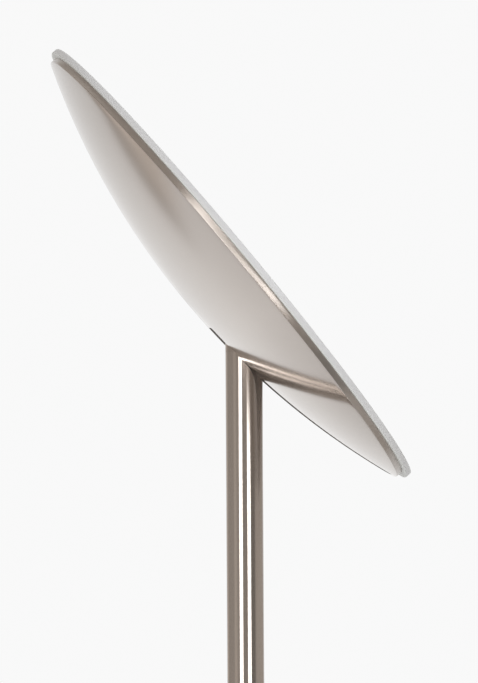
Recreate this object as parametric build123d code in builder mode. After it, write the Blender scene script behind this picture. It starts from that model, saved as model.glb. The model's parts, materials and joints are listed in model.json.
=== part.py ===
"""Torchiere floor lamp: a shallow dish with a glass top, on a slim pole and a round weighted base.

The dish is slotted, so the pole goes in through its wall to a hinge that stays out of sight under
the glass. The head tilts on that hinge from level, with the pole square to the dish, to upright,
with the pole lying in the slot. The model stands as it is used, tilted.

Millimetres, +Z up. The origin is on the floor, under the pole. The tilt axis is parallel to Y.
"""

import os
from math import cos, pi, radians, sin, sqrt

from build123d import *

os.makedirs("parts", exist_ok=True)

# Head: the pose, and the glass and dish that show
head_tilt = 50.6  # degrees from level
pivot_height = 1800.0  # tilt axis above the floor
pivot_offset = 32.6  # tilt axis from the middle of the dish, towards the slot
glass_diameter = 297.0
glass_thickness = 3.5
glass_edge_break = 0.4
rim_diameter = 290.0
rim_band_height = 3.0
dish_depth = 25.8  # from the rim band down to the middle of the bowl
dish_sheet = 1.0
rim_flange_width = 10.0
rim_corner = 0.5
gasket_thickness = 0.4
gasket_setback = 1.5  # gasket edge behind the rim band
slot_side_gap = 0.5  # slot wall to pole, each side
slot_start_gap = 3.4  # slot end to pole, head level
slot_end_gap = 1.6  # slot end to pole, head upright
slot_corner = 3.0

# Head: the flat light under the glass
light_gap = 0.6  # glass to light guide
guide_thickness = 2.0
reflector_thickness = 0.3
pan_sheet = 2.0
pan_rim_gap = 2.0  # pan to the dish's inward flange
strip_thickness = 0.4
chip_count = 72
chip_depth = 0.8
chip_width = 3.0
chip_height = 1.6
chip_gap = 0.3  # chip face to light guide
standoff_diameter = 7.0
standoff_circle = 190.0
standoff_count = 4
module_length = 80.0
module_width = 36.0
module_height = 11.0
module_setback = 50.0  # middle of the module from the middle of the dish
module_corner = 3.0
module_edge_break = 1.0
module_screw_pitch = 60.0
screw_diameter = 3.0
screw_head_diameter = 5.6
screw_length = 7.0
screw_hole_gap = 0.1
screw_head_angle = 90.0

# Hinge
knuckle_gap = 1.1  # knuckle to the pan above it
knuckle_flat_depth = 2.0
knuckle_shoulder = 10.5  # tilt axis to the end of the tube
knuckle_spigot_length = 34.0
flat_margin = 0.3  # end of the flat to the shoulder
washer_gap = 0.1  # washer to knuckle
washer_thickness = 0.9
washer_diameter = 14.0
ear_thickness = 2.0
ear_edge = 4.5  # metal round the bolt hole
ear_flange_width = 14.0
ear_flange_length = 30.0
ear_screw_pitch = 20.0
bolt_diameter = 6.0
bolt_running_gap = 0.05
bolt_head_diameter = 10.5
bolt_head_height = 3.3
bolt_head_edge = 1.0
bolt_tail = 1.0
nut_across_flats = 10.0
nut_height = 5.0
spring_diameter = 12.5
spring_thickness = 0.6
spring_cone = 0.4
spring_bore_gap = 0.15

# Pole
pole_diameter = 20.0
pole_wall = 1.2
lower_length = 590.0
middle_length = 590.0
joiner_length = 60.0
joiner_seam = 1.0
joiner_seam_depth = 0.5
joiner_bore = 13.0
tube_fit = 0.05  # inside a tube, each side

# Push dimmer on the pole
dimmer_drop = 83.0  # top of the middle tube down to the button
button_diameter = 9.0
button_lip = 0.6
button_lip_height = 0.8
button_proud = 1.4
button_crown = 0.5
button_travel = 1.0
button_gap = 0.1
bezel_wall = 0.9
bezel_flange = 0.8
bezel_proud = 0.8
bezel_edge_break = 0.2
housing_length = 46.0
housing_back = 2.4  # pole axis to the back of the housing
housing_gap = 0.2

# Lead inside the lamp
lead_diameter = 3.6
lead_bore_gap = 0.2
lead_offset = 5.6  # lead beside the hinge bolt
lead_shift_length = 60.0
lead_shift_bend = 200.0
lead_straight = 30.0
lead_bend = 10.0

# Base
base_diameter = 280.0
base_height = 22.0
base_edge = 8.0
cover_sheet = 1.2
pad_thickness = 2.0
pad_diameter = 260.0
floor_plate_thickness = 1.5
base_side_gap = 0.5
foot_flange_diameter = 60.0
foot_flange_thickness = 5.0
foot_spigot_length = 60.0
foot_bore = 12.0
foot_gap = 0.2
foot_screw_diameter = 5.0
foot_screw_circle = 46.0
foot_screw_count = 3
foot_screw_head = 8.5
foot_screw_head_height = 3.6
plate_screw_circle = 190.0
plate_screw_count = 4
plate_screw_depth = 8.0
weight_pocket = 32.0
collar_height = 12.0
collar_foot = 2.5
collar_width = 8.0  # pole surface to the collar's edge
collar_lip = 2.0
collar_hollow = 1.6
collar_fit = 0.1

# Cord entry at the back of the base
gland_bore = 6.6
gland_neck = 8.8
gland_flange = 10.8
gland_flange_thickness = 2.4
gland_edge = 1.2
gland_tail = 8.0
gland_gap = 0.2
channel_gap = 0.7
terminal_length = 22.0
terminal_width = 12.0
terminal_height = 10.0
terminal_corner = 1.5
terminal_back = 45.0  # terminal to the edge of the base

# Worked out from the sizes above: radii, and depths below the underside of the glass
pole_radius = pole_diameter / 2
tube_bore = pole_radius - pole_wall
spigot_radius = tube_bore - tube_fit
rim_radius = rim_diameter / 2
flange_radius = rim_radius - rim_flange_width
band_bottom = gasket_thickness + rim_band_height
dish_bottom = band_bottom + dish_depth
bowl_radius = (rim_radius**2 + dish_depth**2) / (2 * dish_depth)
bowl_centre = bowl_radius - dish_bottom  # above the glass
guide_bottom = light_gap + guide_thickness
pan_floor = guide_bottom + reflector_thickness
pan_bottom = pan_floor + pan_sheet
pan_radius = flange_radius - pan_rim_gap
pan_rim_inside = pan_radius - pan_sheet
strip_inside = pan_rim_inside - strip_thickness
chip_seat = sqrt(strip_inside**2 - (chip_width / 2) ** 2)
guide_radius = chip_seat - chip_depth - chip_gap
pivot_depth = pan_bottom + knuckle_gap + pole_radius

# The head's own planes: r runs down the glass towards the slot, and depth is below the glass
tilt = radians(head_tilt)
outward = Vector(sin(tilt), 0, cos(tilt))
downhill = Vector(cos(tilt), 0, -sin(tilt))
pivot = Vector(0, 0, pivot_height)
head_origin = pivot - downhill * pivot_offset + outward * pivot_depth
head = Plane(origin=head_origin, x_dir=downhill, z_dir=outward)
head_section = Plane(origin=head_origin, x_dir=downhill, z_dir=(0, -1, 0))
head_axis = Axis(head_origin, outward)
hinge = Plane(origin=pivot, x_dir=(1, 0, 0), z_dir=(0, 1, 0))
hinge_section = Plane(origin=pivot, x_dir=(0, 1, 0), z_dir=(1, 0, 0))
hinge_axis = Axis(pivot, (0, 1, 0))

# Places of the screws in the pan, in the head's plane
ear_inside = pole_radius - knuckle_flat_depth + washer_gap + washer_thickness
ear_outside = ear_inside + ear_thickness
ear_flange_middle = ear_outside + ear_flange_width / 2
standoff_turns = [2 * pi * (number + 0.5) / standoff_count for number in range(standoff_count)]
standoff_points = [
    (standoff_circle / 2 * cos(turn), standoff_circle / 2 * sin(turn)) for turn in standoff_turns
]
ear_points = [
    (pivot_offset + along * ear_screw_pitch / 2, side * ear_flange_middle)
    for side in (-1, 1)
    for along in (-1, 1)
]
module_points = [(-module_setback, side * module_screw_pitch / 2) for side in (-1, 1)]
screw_points = standoff_points + ear_points + module_points
screw_radius = screw_diameter / 2
screw_head_radius = screw_head_diameter / 2


def write(piece, name):
    """Label a finished piece and write it to its own file."""
    piece.part.label = name
    export_step(piece.part, f"parts/{name}.step")


def bowl_depth(r, radius):
    """Depth of a sphere of the bowl's centre and the given radius, at r from the middle."""
    return sqrt(radius**2 - r**2) - bowl_centre


# Glass top
with BuildPart() as glass_diffuser:
    with BuildSketch(head):
        Circle(glass_diameter / 2)
    extrude(amount=glass_thickness)
    chamfer(glass_diffuser.edges().filter_by(GeomType.CIRCLE), glass_edge_break)
write(glass_diffuser, "glass_diffuser")

with BuildPart() as glass_gasket:
    with BuildSketch(head):
        Circle(rim_radius - gasket_setback)
        Circle(flange_radius, mode=Mode.SUBTRACT)
    extrude(amount=-gasket_thickness)
write(glass_gasket, "glass_gasket")

# Dish: one spun sheet, with its rim turned in under the glass
bowl_inside = bowl_radius - dish_sheet
wall_inside = rim_radius - dish_sheet

with BuildPart() as dish_shell:
    with BuildSketch(head_section):
        with BuildLine():
            ThreePointArc(
                (0, -dish_bottom),
                (rim_radius / 2, -bowl_depth(rim_radius / 2, bowl_radius)),
                (rim_radius, -band_bottom),
            )
            Polyline(
                (rim_radius, -band_bottom),
                (rim_radius, -gasket_thickness),
                (flange_radius, -gasket_thickness),
                (flange_radius, -gasket_thickness - dish_sheet),
                (wall_inside, -gasket_thickness - dish_sheet),
                (wall_inside, -bowl_depth(wall_inside, bowl_inside)),
            )
            ThreePointArc(
                (wall_inside, -bowl_depth(wall_inside, bowl_inside)),
                (wall_inside / 2, -bowl_depth(wall_inside / 2, bowl_inside)),
                (0, -bowl_depth(0, bowl_inside)),
            )
            Line((0, -bowl_depth(0, bowl_inside)), (0, -dish_bottom))
        make_face()
    revolve(axis=head_axis)
    rim_edges = dish_shell.edges().filter_by(GeomType.CIRCLE).group_by(SortBy.LENGTH)[-1]
    fillet(rim_edges, rim_corner)
    slot_start = pivot_offset - pole_radius - slot_start_gap
    slot_top = pivot_depth - pole_radius - slot_end_gap
    with BuildSketch(head.offset(-slot_top)) as slot:
        with Locations(((slot_start + rim_radius) / 2, 0)):
            Rectangle(rim_radius - slot_start, pole_diameter + 2 * slot_side_gap)
        fillet(slot.vertices().group_by(Axis.X)[0], slot_corner)
    extrude(amount=-dish_bottom, mode=Mode.SUBTRACT)
write(dish_shell, "dish_shell")

# Room inside the bowl, used to seat what stands on its curved wall
with BuildPart() as bowl_room:
    with BuildSketch(head_section):
        with BuildLine():
            ThreePointArc(
                (0, -bowl_depth(0, bowl_inside)),
                (wall_inside / 2, -bowl_depth(wall_inside / 2, bowl_inside)),
                (wall_inside, -bowl_depth(wall_inside, bowl_inside)),
            )
            Line((wall_inside, -bowl_depth(wall_inside, bowl_inside)), (wall_inside, 0))
            Line((wall_inside, 0), (0, 0))
            Line((0, 0), (0, -bowl_depth(0, bowl_inside)))
        make_face()
    revolve(axis=head_axis)

# Carrier pan: a turned-up plate that holds the flat light above it and the hinge below it
with BuildPart(head) as carrier_pan:
    with BuildSketch(head_section):
        with BuildLine():
            Polyline(
                (0, -pan_bottom),
                (pan_radius, -pan_bottom),
                (pan_radius, -light_gap),
                (pan_rim_inside, -light_gap),
                (pan_rim_inside, -pan_floor),
                (0, -pan_floor),
                close=True,
            )
        make_face()
    revolve(axis=head_axis)
    with Locations(*[(r, y, -pan_floor) for r, y in screw_points]):
        CounterSinkHole(
            screw_radius + screw_hole_gap,
            screw_head_radius + screw_hole_gap,
            depth=pan_sheet,
            counter_sink_angle=screw_head_angle,
        )
write(carrier_pan, "carrier_pan")

with BuildPart() as plate_standoffs:
    with BuildSketch(head.offset(-pan_bottom)):
        with Locations(*standoff_points):
            Circle(standoff_diameter / 2)
            Circle(screw_radius, mode=Mode.SUBTRACT)
    extrude(amount=-dish_bottom)
    add(bowl_room.part, mode=Mode.INTERSECT)
write(plate_standoffs, "plate_standoffs")

with BuildPart(head) as carrier_screws:
    with Locations(*[(r, y, -pan_floor) for r, y in screw_points]):
        Cylinder(screw_radius, screw_length, align=(Align.CENTER, Align.CENTER, Align.MAX))
        Cone(
            screw_radius,
            screw_head_radius,
            screw_head_radius - screw_radius,
            align=(Align.CENTER, Align.CENTER, Align.MAX),
        )
write(carrier_screws, "carrier_screws")

# Flat edge-lit panel
with BuildPart() as reflector_sheet:
    with BuildSketch(head.offset(-guide_bottom)):
        Circle(guide_radius)
    extrude(amount=-reflector_thickness)
write(reflector_sheet, "reflector_sheet")

with BuildPart() as light_guide:
    with BuildSketch(head.offset(-light_gap)):
        Circle(guide_radius)
    extrude(amount=-guide_thickness)
write(light_guide, "light_guide")

with BuildPart() as led_strip:
    with BuildSketch(head.offset(-light_gap)):
        Circle(pan_rim_inside)
        Circle(strip_inside, mode=Mode.SUBTRACT)
    extrude(amount=-guide_thickness)
write(led_strip, "led_strip")

with BuildPart() as led_chips:
    with BuildSketch(head.offset(-light_gap - (guide_thickness - chip_height) / 2)):
        with PolarLocations(chip_seat - chip_depth / 2, chip_count):
            Rectangle(chip_depth, chip_width)
    extrude(amount=-chip_height)
write(led_chips, "led_chips")

with BuildPart(head) as control_module:
    with BuildSketch(head.offset(-pan_bottom)):
        with Locations((-module_setback, 0)):
            RectangleRounded(module_width, module_length, module_corner)
    extrude(amount=-module_height)
    chamfer(control_module.faces().sort_by(Axis(head_origin, -outward))[-1].edges(), module_edge_break)
    with Locations(*[(r, y, -pan_bottom) for r, y in module_points]):
        Hole(screw_radius, depth=screw_length - pan_sheet)
write(control_module, "control_module")

# Friction hinge: two ears under the pan clamp the flats of the knuckle
bolt_radius = bolt_diameter / 2
ear_radius = bolt_radius + ear_edge


def make_ear(side):
    """One angled ear: a plate beside the knuckle, with a flange turned out under the pan."""
    with BuildPart(head) as ear:
        with BuildSketch(head_section.offset(-side * ear_inside)):
            with Locations((pivot_offset, -pivot_depth)):
                Circle(ear_radius)
            with Locations((pivot_offset, -(pivot_depth + pan_bottom) / 2)):
                Rectangle(2 * ear_radius, pivot_depth - pan_bottom)
            with Locations((pivot_offset, -pivot_depth)):
                Circle(bolt_radius, mode=Mode.SUBTRACT)
        extrude(amount=-side * ear_thickness)
        with BuildSketch(head.offset(-pan_bottom)):
            with Locations((pivot_offset, side * ear_flange_middle)):
                Rectangle(ear_flange_length, ear_flange_width)
            with Locations((pivot_offset, side * (ear_inside + ear_thickness / 2))):
                Rectangle(2 * ear_radius, ear_thickness)
        extrude(amount=-ear_thickness)
        with Locations(*[(r, y, -pan_bottom) for r, y in ear_points if y * side > 0]):
            Hole(screw_radius, depth=ear_thickness)
    return ear


write(make_ear(-1), "hinge_ear_near")
write(make_ear(1), "hinge_ear_far")

spring_stack = 2 * (spring_thickness + spring_cone)
nut_start = ear_outside + spring_stack
bolt_end = nut_start + nut_height + bolt_tail

with BuildPart() as hinge_bolt:
    with BuildSketch(hinge.offset(-ear_outside)):
        Circle(bolt_radius)
    extrude(amount=ear_outside + bolt_end)
    with BuildSketch(hinge.offset(-ear_outside)):
        Circle(bolt_head_diameter / 2)
    extrude(amount=-bolt_head_height)
    chamfer(hinge_bolt.edges().filter_by(GeomType.CIRCLE).sort_by(Axis.Y)[0], bolt_head_edge)
write(hinge_bolt, "hinge_bolt")

with BuildPart() as hinge_nut:
    with BuildSketch(hinge.offset(nut_start)):
        RegularPolygon(nut_across_flats / 2, 6, major_radius=False)
        Circle(bolt_radius, mode=Mode.SUBTRACT)
    extrude(amount=nut_height)
write(hinge_nut, "hinge_nut")

with BuildPart() as friction_washers:
    for side in (-1, 1):
        with BuildSketch(hinge.offset(side * ear_inside)):
            Circle(washer_diameter / 2)
            Circle(bolt_radius + bolt_running_gap, mode=Mode.SUBTRACT)
        extrude(amount=-side * washer_thickness)
write(friction_washers, "friction_washers")

spring_bore = bolt_radius + spring_bore_gap
spring_rim = spring_diameter / 2
spring_middle = ear_outside + spring_stack / 2

with BuildPart() as disc_springs:
    for side in (-1, 1):
        with BuildSketch(hinge_section):
            with BuildLine():
                Polyline(
                    (spring_middle, spring_rim),
                    (spring_middle + side * spring_thickness, spring_rim),
                    (spring_middle + side * (spring_thickness + spring_cone), spring_bore),
                    (spring_middle + side * spring_cone, spring_bore),
                    close=True,
                )
            make_face()
        revolve(axis=hinge_axis)
write(disc_springs, "disc_springs")

# Knuckle: the solid end of the pole, milled flat where the ears clamp it
shoulder_height = pivot_height - knuckle_shoulder
lead_radius = lead_diameter / 2

with BuildPart() as hinge_knuckle:
    with BuildSketch(Plane.XY.offset(shoulder_height)):
        Circle(pole_radius)
    extrude(amount=knuckle_shoulder + pole_radius)
    with BuildSketch(Plane.XZ):
        with Locations((0, pivot_height)):
            Circle(pole_radius)
        with Locations((0, pivot_height - knuckle_shoulder / 2)):
            Rectangle(pole_diameter, knuckle_shoulder)
    extrude(amount=pole_radius, both=True, mode=Mode.INTERSECT)
    for side in (-1, 1):
        with BuildSketch(hinge.offset(side * (pole_radius - knuckle_flat_depth))):
            Circle(knuckle_shoulder - flat_margin)
        extrude(amount=side * knuckle_flat_depth, mode=Mode.SUBTRACT)
    with BuildSketch(Plane.XY.offset(shoulder_height)):
        Circle(spigot_radius)
    extrude(amount=-knuckle_spigot_length)
    with BuildSketch(hinge):
        Circle(bolt_radius + bolt_running_gap)
    extrude(amount=pole_radius, both=True, mode=Mode.SUBTRACT)
    with BuildSketch(Plane.XY.offset(shoulder_height - knuckle_spigot_length)):
        with Locations((-lead_offset, 0)):
            Circle(lead_radius + lead_bore_gap)
    extrude(amount=knuckle_spigot_length + knuckle_shoulder + pole_radius, mode=Mode.SUBTRACT)
write(hinge_knuckle, "hinge_knuckle")

# Pole: three tubes, with a thin ring between each two
lower_top = base_height + lower_length
middle_bottom = lower_top + joiner_seam
middle_top = middle_bottom + middle_length
upper_bottom = middle_top + joiner_seam
dimmer_height = middle_top - dimmer_drop
button_radius = button_diameter / 2
bezel_bore = button_radius + button_gap
bezel_room = button_radius + button_lip + button_gap
bezel_radius = bezel_room + bezel_wall


def make_tube(bottom, top):
    """A length of the pole's tube."""
    with BuildPart() as tube:
        with BuildSketch(Plane.XY.offset(bottom)):
            Circle(pole_radius)
            Circle(tube_bore, mode=Mode.SUBTRACT)
        extrude(amount=top - bottom)
    return tube


def make_joiner(seam_bottom):
    """A sleeve inside two tubes, with a ring between their ends that leaves a fine groove."""
    with BuildPart() as joiner:
        with BuildSketch(Plane.XY.offset(seam_bottom + joiner_seam / 2)):
            Circle(spigot_radius)
            Circle(joiner_bore / 2, mode=Mode.SUBTRACT)
        extrude(amount=joiner_length / 2, both=True)
        with BuildSketch(Plane.XY.offset(seam_bottom)):
            Circle(pole_radius - joiner_seam_depth)
            Circle(joiner_bore / 2, mode=Mode.SUBTRACT)
        extrude(amount=joiner_seam)
    return joiner


write(make_tube(base_height, lower_top), "pole_lower")
write(make_tube(upper_bottom, shoulder_height), "pole_upper")
write(make_joiner(lower_top), "joiner_lower")
write(make_joiner(middle_top), "joiner_upper")

dimmer_face = Plane(origin=(0, 0, dimmer_height), x_dir=(1, 0, 0), z_dir=(0, -1, 0))

with BuildPart() as pole_middle:
    with BuildSketch(Plane.XY.offset(middle_bottom)):
        Circle(pole_radius)
        Circle(tube_bore, mode=Mode.SUBTRACT)
    extrude(amount=middle_length)
    with BuildSketch(dimmer_face):
        Circle(bezel_radius)
    extrude(amount=pole_radius, mode=Mode.SUBTRACT)
write(pole_middle, "pole_middle")

# Push dimmer: a bezel through the tube wall, a button behind its lip, and the housing inside the tube
bezel_face = pole_radius + bezel_proud
button_face = bezel_face + button_proud
lip_front = tube_bore - button_lip_height
lip_back = lip_front - button_lip_height
housing_floor = lip_back - button_travel - button_gap
flange_reach = bezel_radius + bezel_flange

with BuildPart() as dimmer_bezel:
    with BuildSketch(dimmer_face):
        Circle(flange_reach)
    extrude(amount=bezel_face)
    with BuildSketch(Plane.XY.offset(dimmer_height)):
        Circle(pole_radius)
    extrude(amount=flange_reach, both=True, mode=Mode.SUBTRACT)
    with BuildSketch(dimmer_face.offset(housing_floor)):
        Circle(bezel_radius)
    extrude(amount=bezel_face - housing_floor)
    with BuildSketch(dimmer_face):
        Circle(bezel_bore)
    extrude(amount=bezel_face, mode=Mode.SUBTRACT)
    with BuildSketch(dimmer_face):
        Circle(bezel_room)
    extrude(amount=lip_front, mode=Mode.SUBTRACT)
    outer_edge = dimmer_bezel.edges().filter_by(GeomType.CIRCLE).sort_by(Axis.Y)[0:2]
    chamfer(outer_edge, bezel_edge_break)
write(dimmer_bezel, "dimmer_bezel")

with BuildPart() as dimmer_button:
    with BuildSketch(dimmer_face.offset(lip_back)):
        Circle(button_radius)
    extrude(amount=button_face - lip_back)
    with BuildSketch(dimmer_face.offset(lip_back)):
        Circle(button_radius + button_lip)
    extrude(amount=button_lip_height - button_gap)
    fillet(dimmer_button.edges().sort_by(Axis.Y)[0], button_crown)
write(dimmer_button, "dimmer_button")

with BuildPart() as dimmer_housing:
    with BuildSketch(Plane.XY.offset(dimmer_height)):
        Circle(tube_bore - housing_gap)
        with Locations((0, tube_bore - housing_back)):
            Rectangle(2 * tube_bore, 2 * tube_bore, mode=Mode.SUBTRACT)
    extrude(amount=housing_length / 2, both=True)
    with BuildSketch(dimmer_face.offset(housing_floor)):
        Circle(bezel_radius)
    extrude(amount=tube_bore, mode=Mode.SUBTRACT)
write(dimmer_housing, "dimmer_housing")

# Base: heights of its layers, from the floor up
base_radius = base_diameter / 2
plate_top = pad_thickness + floor_plate_thickness
cover_inside = base_height - cover_sheet
weight_radius = base_radius - cover_sheet - base_side_gap
foot_bottom = cover_inside - foot_flange_thickness
foot_screw_radius = foot_screw_diameter / 2
gland_flange_radius = gland_flange / 2
plate_screw_turn = 180 / plate_screw_count  # degrees, clear of the cord's channel
foot_screw_turn = 90 - 180 / foot_screw_count
gland_height = plate_top + gland_flange_radius + gland_gap

with BuildPart() as base_pad:
    with BuildSketch():
        Circle(pad_diameter / 2)
    extrude(amount=pad_thickness)
write(base_pad, "base_pad")

plate_under = Plane(origin=(0, 0, pad_thickness), x_dir=(1, 0, 0), z_dir=(0, 0, -1))

with BuildPart(plate_under) as base_floor_plate:
    with BuildSketch(plate_under):
        Circle(weight_radius)
    extrude(amount=-floor_plate_thickness)
    with PolarLocations(plate_screw_circle / 2, plate_screw_count, start_angle=plate_screw_turn):
        CounterSinkHole(
            screw_radius + screw_hole_gap,
            screw_head_radius + screw_hole_gap,
            depth=floor_plate_thickness,
            counter_sink_angle=screw_head_angle,
        )
write(base_floor_plate, "base_floor_plate")

with BuildPart(plate_under) as floor_plate_screws:
    with PolarLocations(plate_screw_circle / 2, plate_screw_count, start_angle=plate_screw_turn):
        Cylinder(screw_radius, plate_screw_depth, align=(Align.CENTER, Align.CENTER, Align.MAX))
        Cone(
            screw_radius,
            screw_head_radius,
            screw_head_radius - screw_radius,
            align=(Align.CENTER, Align.CENTER, Align.MAX),
        )
write(floor_plate_screws, "floor_plate_screws")

# Cast weight, with a seat for the foot, a pocket under it and a channel to the back for the cord
with BuildPart() as base_weight:
    with BuildSketch(Plane.XY.offset(plate_top)):
        Circle(weight_radius)
    extrude(amount=cover_inside - plate_top)
    chamfer(base_weight.edges().filter_by(GeomType.CIRCLE).sort_by(Axis.Z)[-1], base_edge - cover_sheet)
    with BuildSketch(Plane.XY.offset(cover_inside)):
        Circle(foot_flange_diameter / 2 + foot_gap)
    extrude(amount=-foot_flange_thickness, mode=Mode.SUBTRACT)
    with BuildSketch(Plane.XY.offset(plate_top)):
        Circle(weight_pocket / 2)
        with PolarLocations(foot_screw_circle / 2, foot_screw_count, start_angle=foot_screw_turn):
            Circle(foot_screw_radius + foot_gap)
        with PolarLocations(plate_screw_circle / 2, plate_screw_count, start_angle=plate_screw_turn):
            Circle(screw_radius)
    extrude(amount=foot_bottom - plate_top, mode=Mode.SUBTRACT)
    with BuildSketch(Plane.XY.offset(plate_top)):
        with PolarLocations(foot_screw_circle / 2, foot_screw_count, start_angle=foot_screw_turn):
            Circle(foot_screw_head / 2 + foot_gap)
    extrude(amount=foot_screw_head_height + foot_gap, mode=Mode.SUBTRACT)
    with BuildSketch(Plane.XY.offset(plate_top)):
        with Locations((0, weight_radius / 2)):
            Rectangle(gland_flange + 2 * channel_gap, weight_radius)
    extrude(amount=gland_height + gland_flange_radius + channel_gap - plate_top, mode=Mode.SUBTRACT)
write(base_weight, "base_weight")

with BuildPart() as pole_foot:
    with BuildSketch(Plane.XY.offset(foot_bottom)):
        Circle(foot_flange_diameter / 2)
    extrude(amount=foot_flange_thickness)
    with BuildSketch(Plane.XY.offset(cover_inside)):
        Circle(spigot_radius)
    extrude(amount=cover_sheet + foot_spigot_length)
    with BuildSketch(Plane.XY.offset(foot_bottom)):
        Circle(foot_bore / 2)
    extrude(amount=foot_flange_thickness + cover_sheet + foot_spigot_length, mode=Mode.SUBTRACT)
    with BuildSketch(Plane.XY.offset(foot_bottom)):
        with PolarLocations(foot_screw_circle / 2, foot_screw_count, start_angle=foot_screw_turn):
            Circle(foot_screw_radius)
    extrude(amount=foot_flange_thickness, mode=Mode.SUBTRACT)
write(pole_foot, "pole_foot")

with BuildPart() as foot_screws:
    screw_seat = plate_top + foot_gap + foot_screw_head_height
    with BuildSketch(Plane.XY.offset(screw_seat)):
        with PolarLocations(foot_screw_circle / 2, foot_screw_count, start_angle=foot_screw_turn):
            Circle(foot_screw_head / 2)
    extrude(amount=-foot_screw_head_height)
    with BuildSketch(Plane.XY.offset(screw_seat)):
        with PolarLocations(foot_screw_circle / 2, foot_screw_count, start_angle=foot_screw_turn):
            Circle(foot_screw_radius)
    extrude(amount=cover_inside - foot_gap - screw_seat)
write(foot_screws, "foot_screws")

# Spun cover over the weight, notched at the back for the cord's gland
cover_wall = base_radius - cover_sheet
edge_turn = base_radius - base_edge
edge_height = base_height - base_edge
diagonal = sqrt(0.5)

with BuildPart() as base_cover:
    with BuildSketch(Plane.XZ):
        with BuildLine():
            Line((spigot_radius + foot_gap, base_height), (edge_turn, base_height))
            ThreePointArc(
                (edge_turn, base_height),
                (edge_turn + base_edge * diagonal, edge_height + base_edge * diagonal),
                (base_radius, edge_height),
            )
            Polyline(
                (base_radius, edge_height),
                (base_radius, pad_thickness),
                (cover_wall, pad_thickness),
                (cover_wall, edge_height),
            )
            inner_edge = base_edge - cover_sheet
            ThreePointArc(
                (cover_wall, edge_height),
                (edge_turn + inner_edge * diagonal, edge_height + inner_edge * diagonal),
                (edge_turn, cover_inside),
            )
            Polyline(
                (edge_turn, cover_inside),
                (spigot_radius + foot_gap, cover_inside),
                (spigot_radius + foot_gap, base_height),
            )
        make_face()
    revolve(axis=Axis.Z)
    with BuildSketch(Plane.XZ.offset(-weight_radius)):
        with Locations((0, gland_height)):
            Circle(gland_neck / 2)
        with Locations((0, gland_height / 2)):
            Rectangle(gland_neck, gland_height)
    extrude(amount=-base_edge, mode=Mode.SUBTRACT)
write(base_cover, "base_cover")

with BuildPart() as pole_collar:
    collar_bore = pole_radius + collar_fit
    collar_edge = pole_radius + collar_width
    collar_top = base_height + collar_height
    with BuildSketch(Plane.XZ):
        with BuildLine():
            Polyline(
                (collar_bore + collar_lip, collar_top),
                (collar_bore, collar_top),
                (collar_bore, base_height),
                (collar_edge, base_height),
                (collar_edge, base_height + collar_foot),
            )
            SagittaArc(
                (collar_edge, base_height + collar_foot),
                (collar_bore + collar_lip, collar_top),
                -collar_hollow,
            )
        make_face()
    revolve(axis=Axis.Z)
write(pole_collar, "pole_collar")

# Cord entry: a grommet held in the cover's notch, and the terminal that a cord would go to
with BuildPart() as cord_gland:
    neck_outside = base_radius + gland_gap
    neck_inside = cover_wall - gland_gap
    tail_inside = neck_inside - gland_flange_thickness
    bore_line = gland_height + gland_bore / 2
    neck_line = gland_height + gland_neck / 2
    flange_line = gland_height + gland_flange_radius
    with BuildSketch(Plane.YZ):
        with BuildLine():
            Polyline(
                (tail_inside - gland_tail, bore_line),
                (neck_outside + gland_flange_thickness, bore_line),
                (neck_outside + gland_flange_thickness, flange_line),
                (neck_outside, flange_line),
                (neck_outside, neck_line),
                (neck_inside, neck_line),
                (neck_inside, flange_line),
                (tail_inside, flange_line),
                (tail_inside, neck_line),
                (tail_inside - gland_tail, neck_line),
                close=True,
            )
        make_face()
    revolve(axis=Axis((0, 0, gland_height), (0, 1, 0)))
    outer_edges = cord_gland.edges().filter_by(GeomType.CIRCLE).group_by(Axis.Y)[-1]
    fillet(outer_edges.sort_by(SortBy.RADIUS)[-1], gland_edge)
write(cord_gland, "cord_gland")

terminal_end = base_radius - terminal_back
terminal_start = terminal_end - terminal_length

with BuildPart() as base_terminal:
    with BuildSketch(Plane.XY.offset(plate_top)):
        with Locations((0, (terminal_start + terminal_end) / 2)):
            RectangleRounded(terminal_width, terminal_length, terminal_corner)
    extrude(amount=terminal_height)
write(base_terminal, "base_terminal")

# Leads: one up the pole from the terminal, and a short one across the hinge to the control module
lead_exit = sqrt(pole_radius**2 - lead_offset**2)
shift_end = shoulder_height - knuckle_spigot_length - lead_straight

with BuildPart() as pole_lead:
    with BuildLine() as pole_route:
        FilletPolyline(
            (0, terminal_start, gland_height),
            (0, 0, gland_height),
            (0, 0, shift_end - lead_shift_length),
            (-lead_offset, 0, shift_end),
            (-lead_offset, 0, pivot_height + lead_exit),
            radius=[lead_bend, lead_shift_bend, lead_shift_bend],
        )
    with BuildSketch(Plane(origin=pole_route.line @ 0, z_dir=pole_route.line % 0)):
        Circle(lead_radius)
    sweep()
write(pole_lead, "pole_lead")

exit_r = pivot_offset - lead_offset * cos(tilt) - lead_exit * sin(tilt)
exit_depth = pivot_depth + lead_offset * sin(tilt) - lead_exit * cos(tilt)
run_depth = pan_bottom + module_height / 2
turn_r = exit_r - (exit_depth - run_depth) * sin(tilt) / cos(tilt)

with BuildPart() as hinge_lead:
    with BuildLine(head_section) as hinge_route:
        FilletPolyline(
            (exit_r, -exit_depth),
            (turn_r, -run_depth),
            (module_width / 2 - module_setback, -run_depth),
            radius=lead_bend,
        )
    with BuildSketch(Plane(origin=hinge_route.line @ 0, z_dir=hinge_route.line % 0)):
        Circle(lead_radius)
    sweep()
write(hinge_lead, "hinge_lead")
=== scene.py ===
"""Looks for a torchiere floor lamp: a satin nickel dish under a frosted glass top, on a slim pole.

Laid out as an add-on and run as a script. Lengths are in metres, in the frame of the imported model:
+Z up, the floor at zero, the pole on the Z axis and the tilt axis parallel to Y.
"""

import json
from math import cos, degrees, pi, radians, sin, sqrt
from typing import NamedTuple

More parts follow.
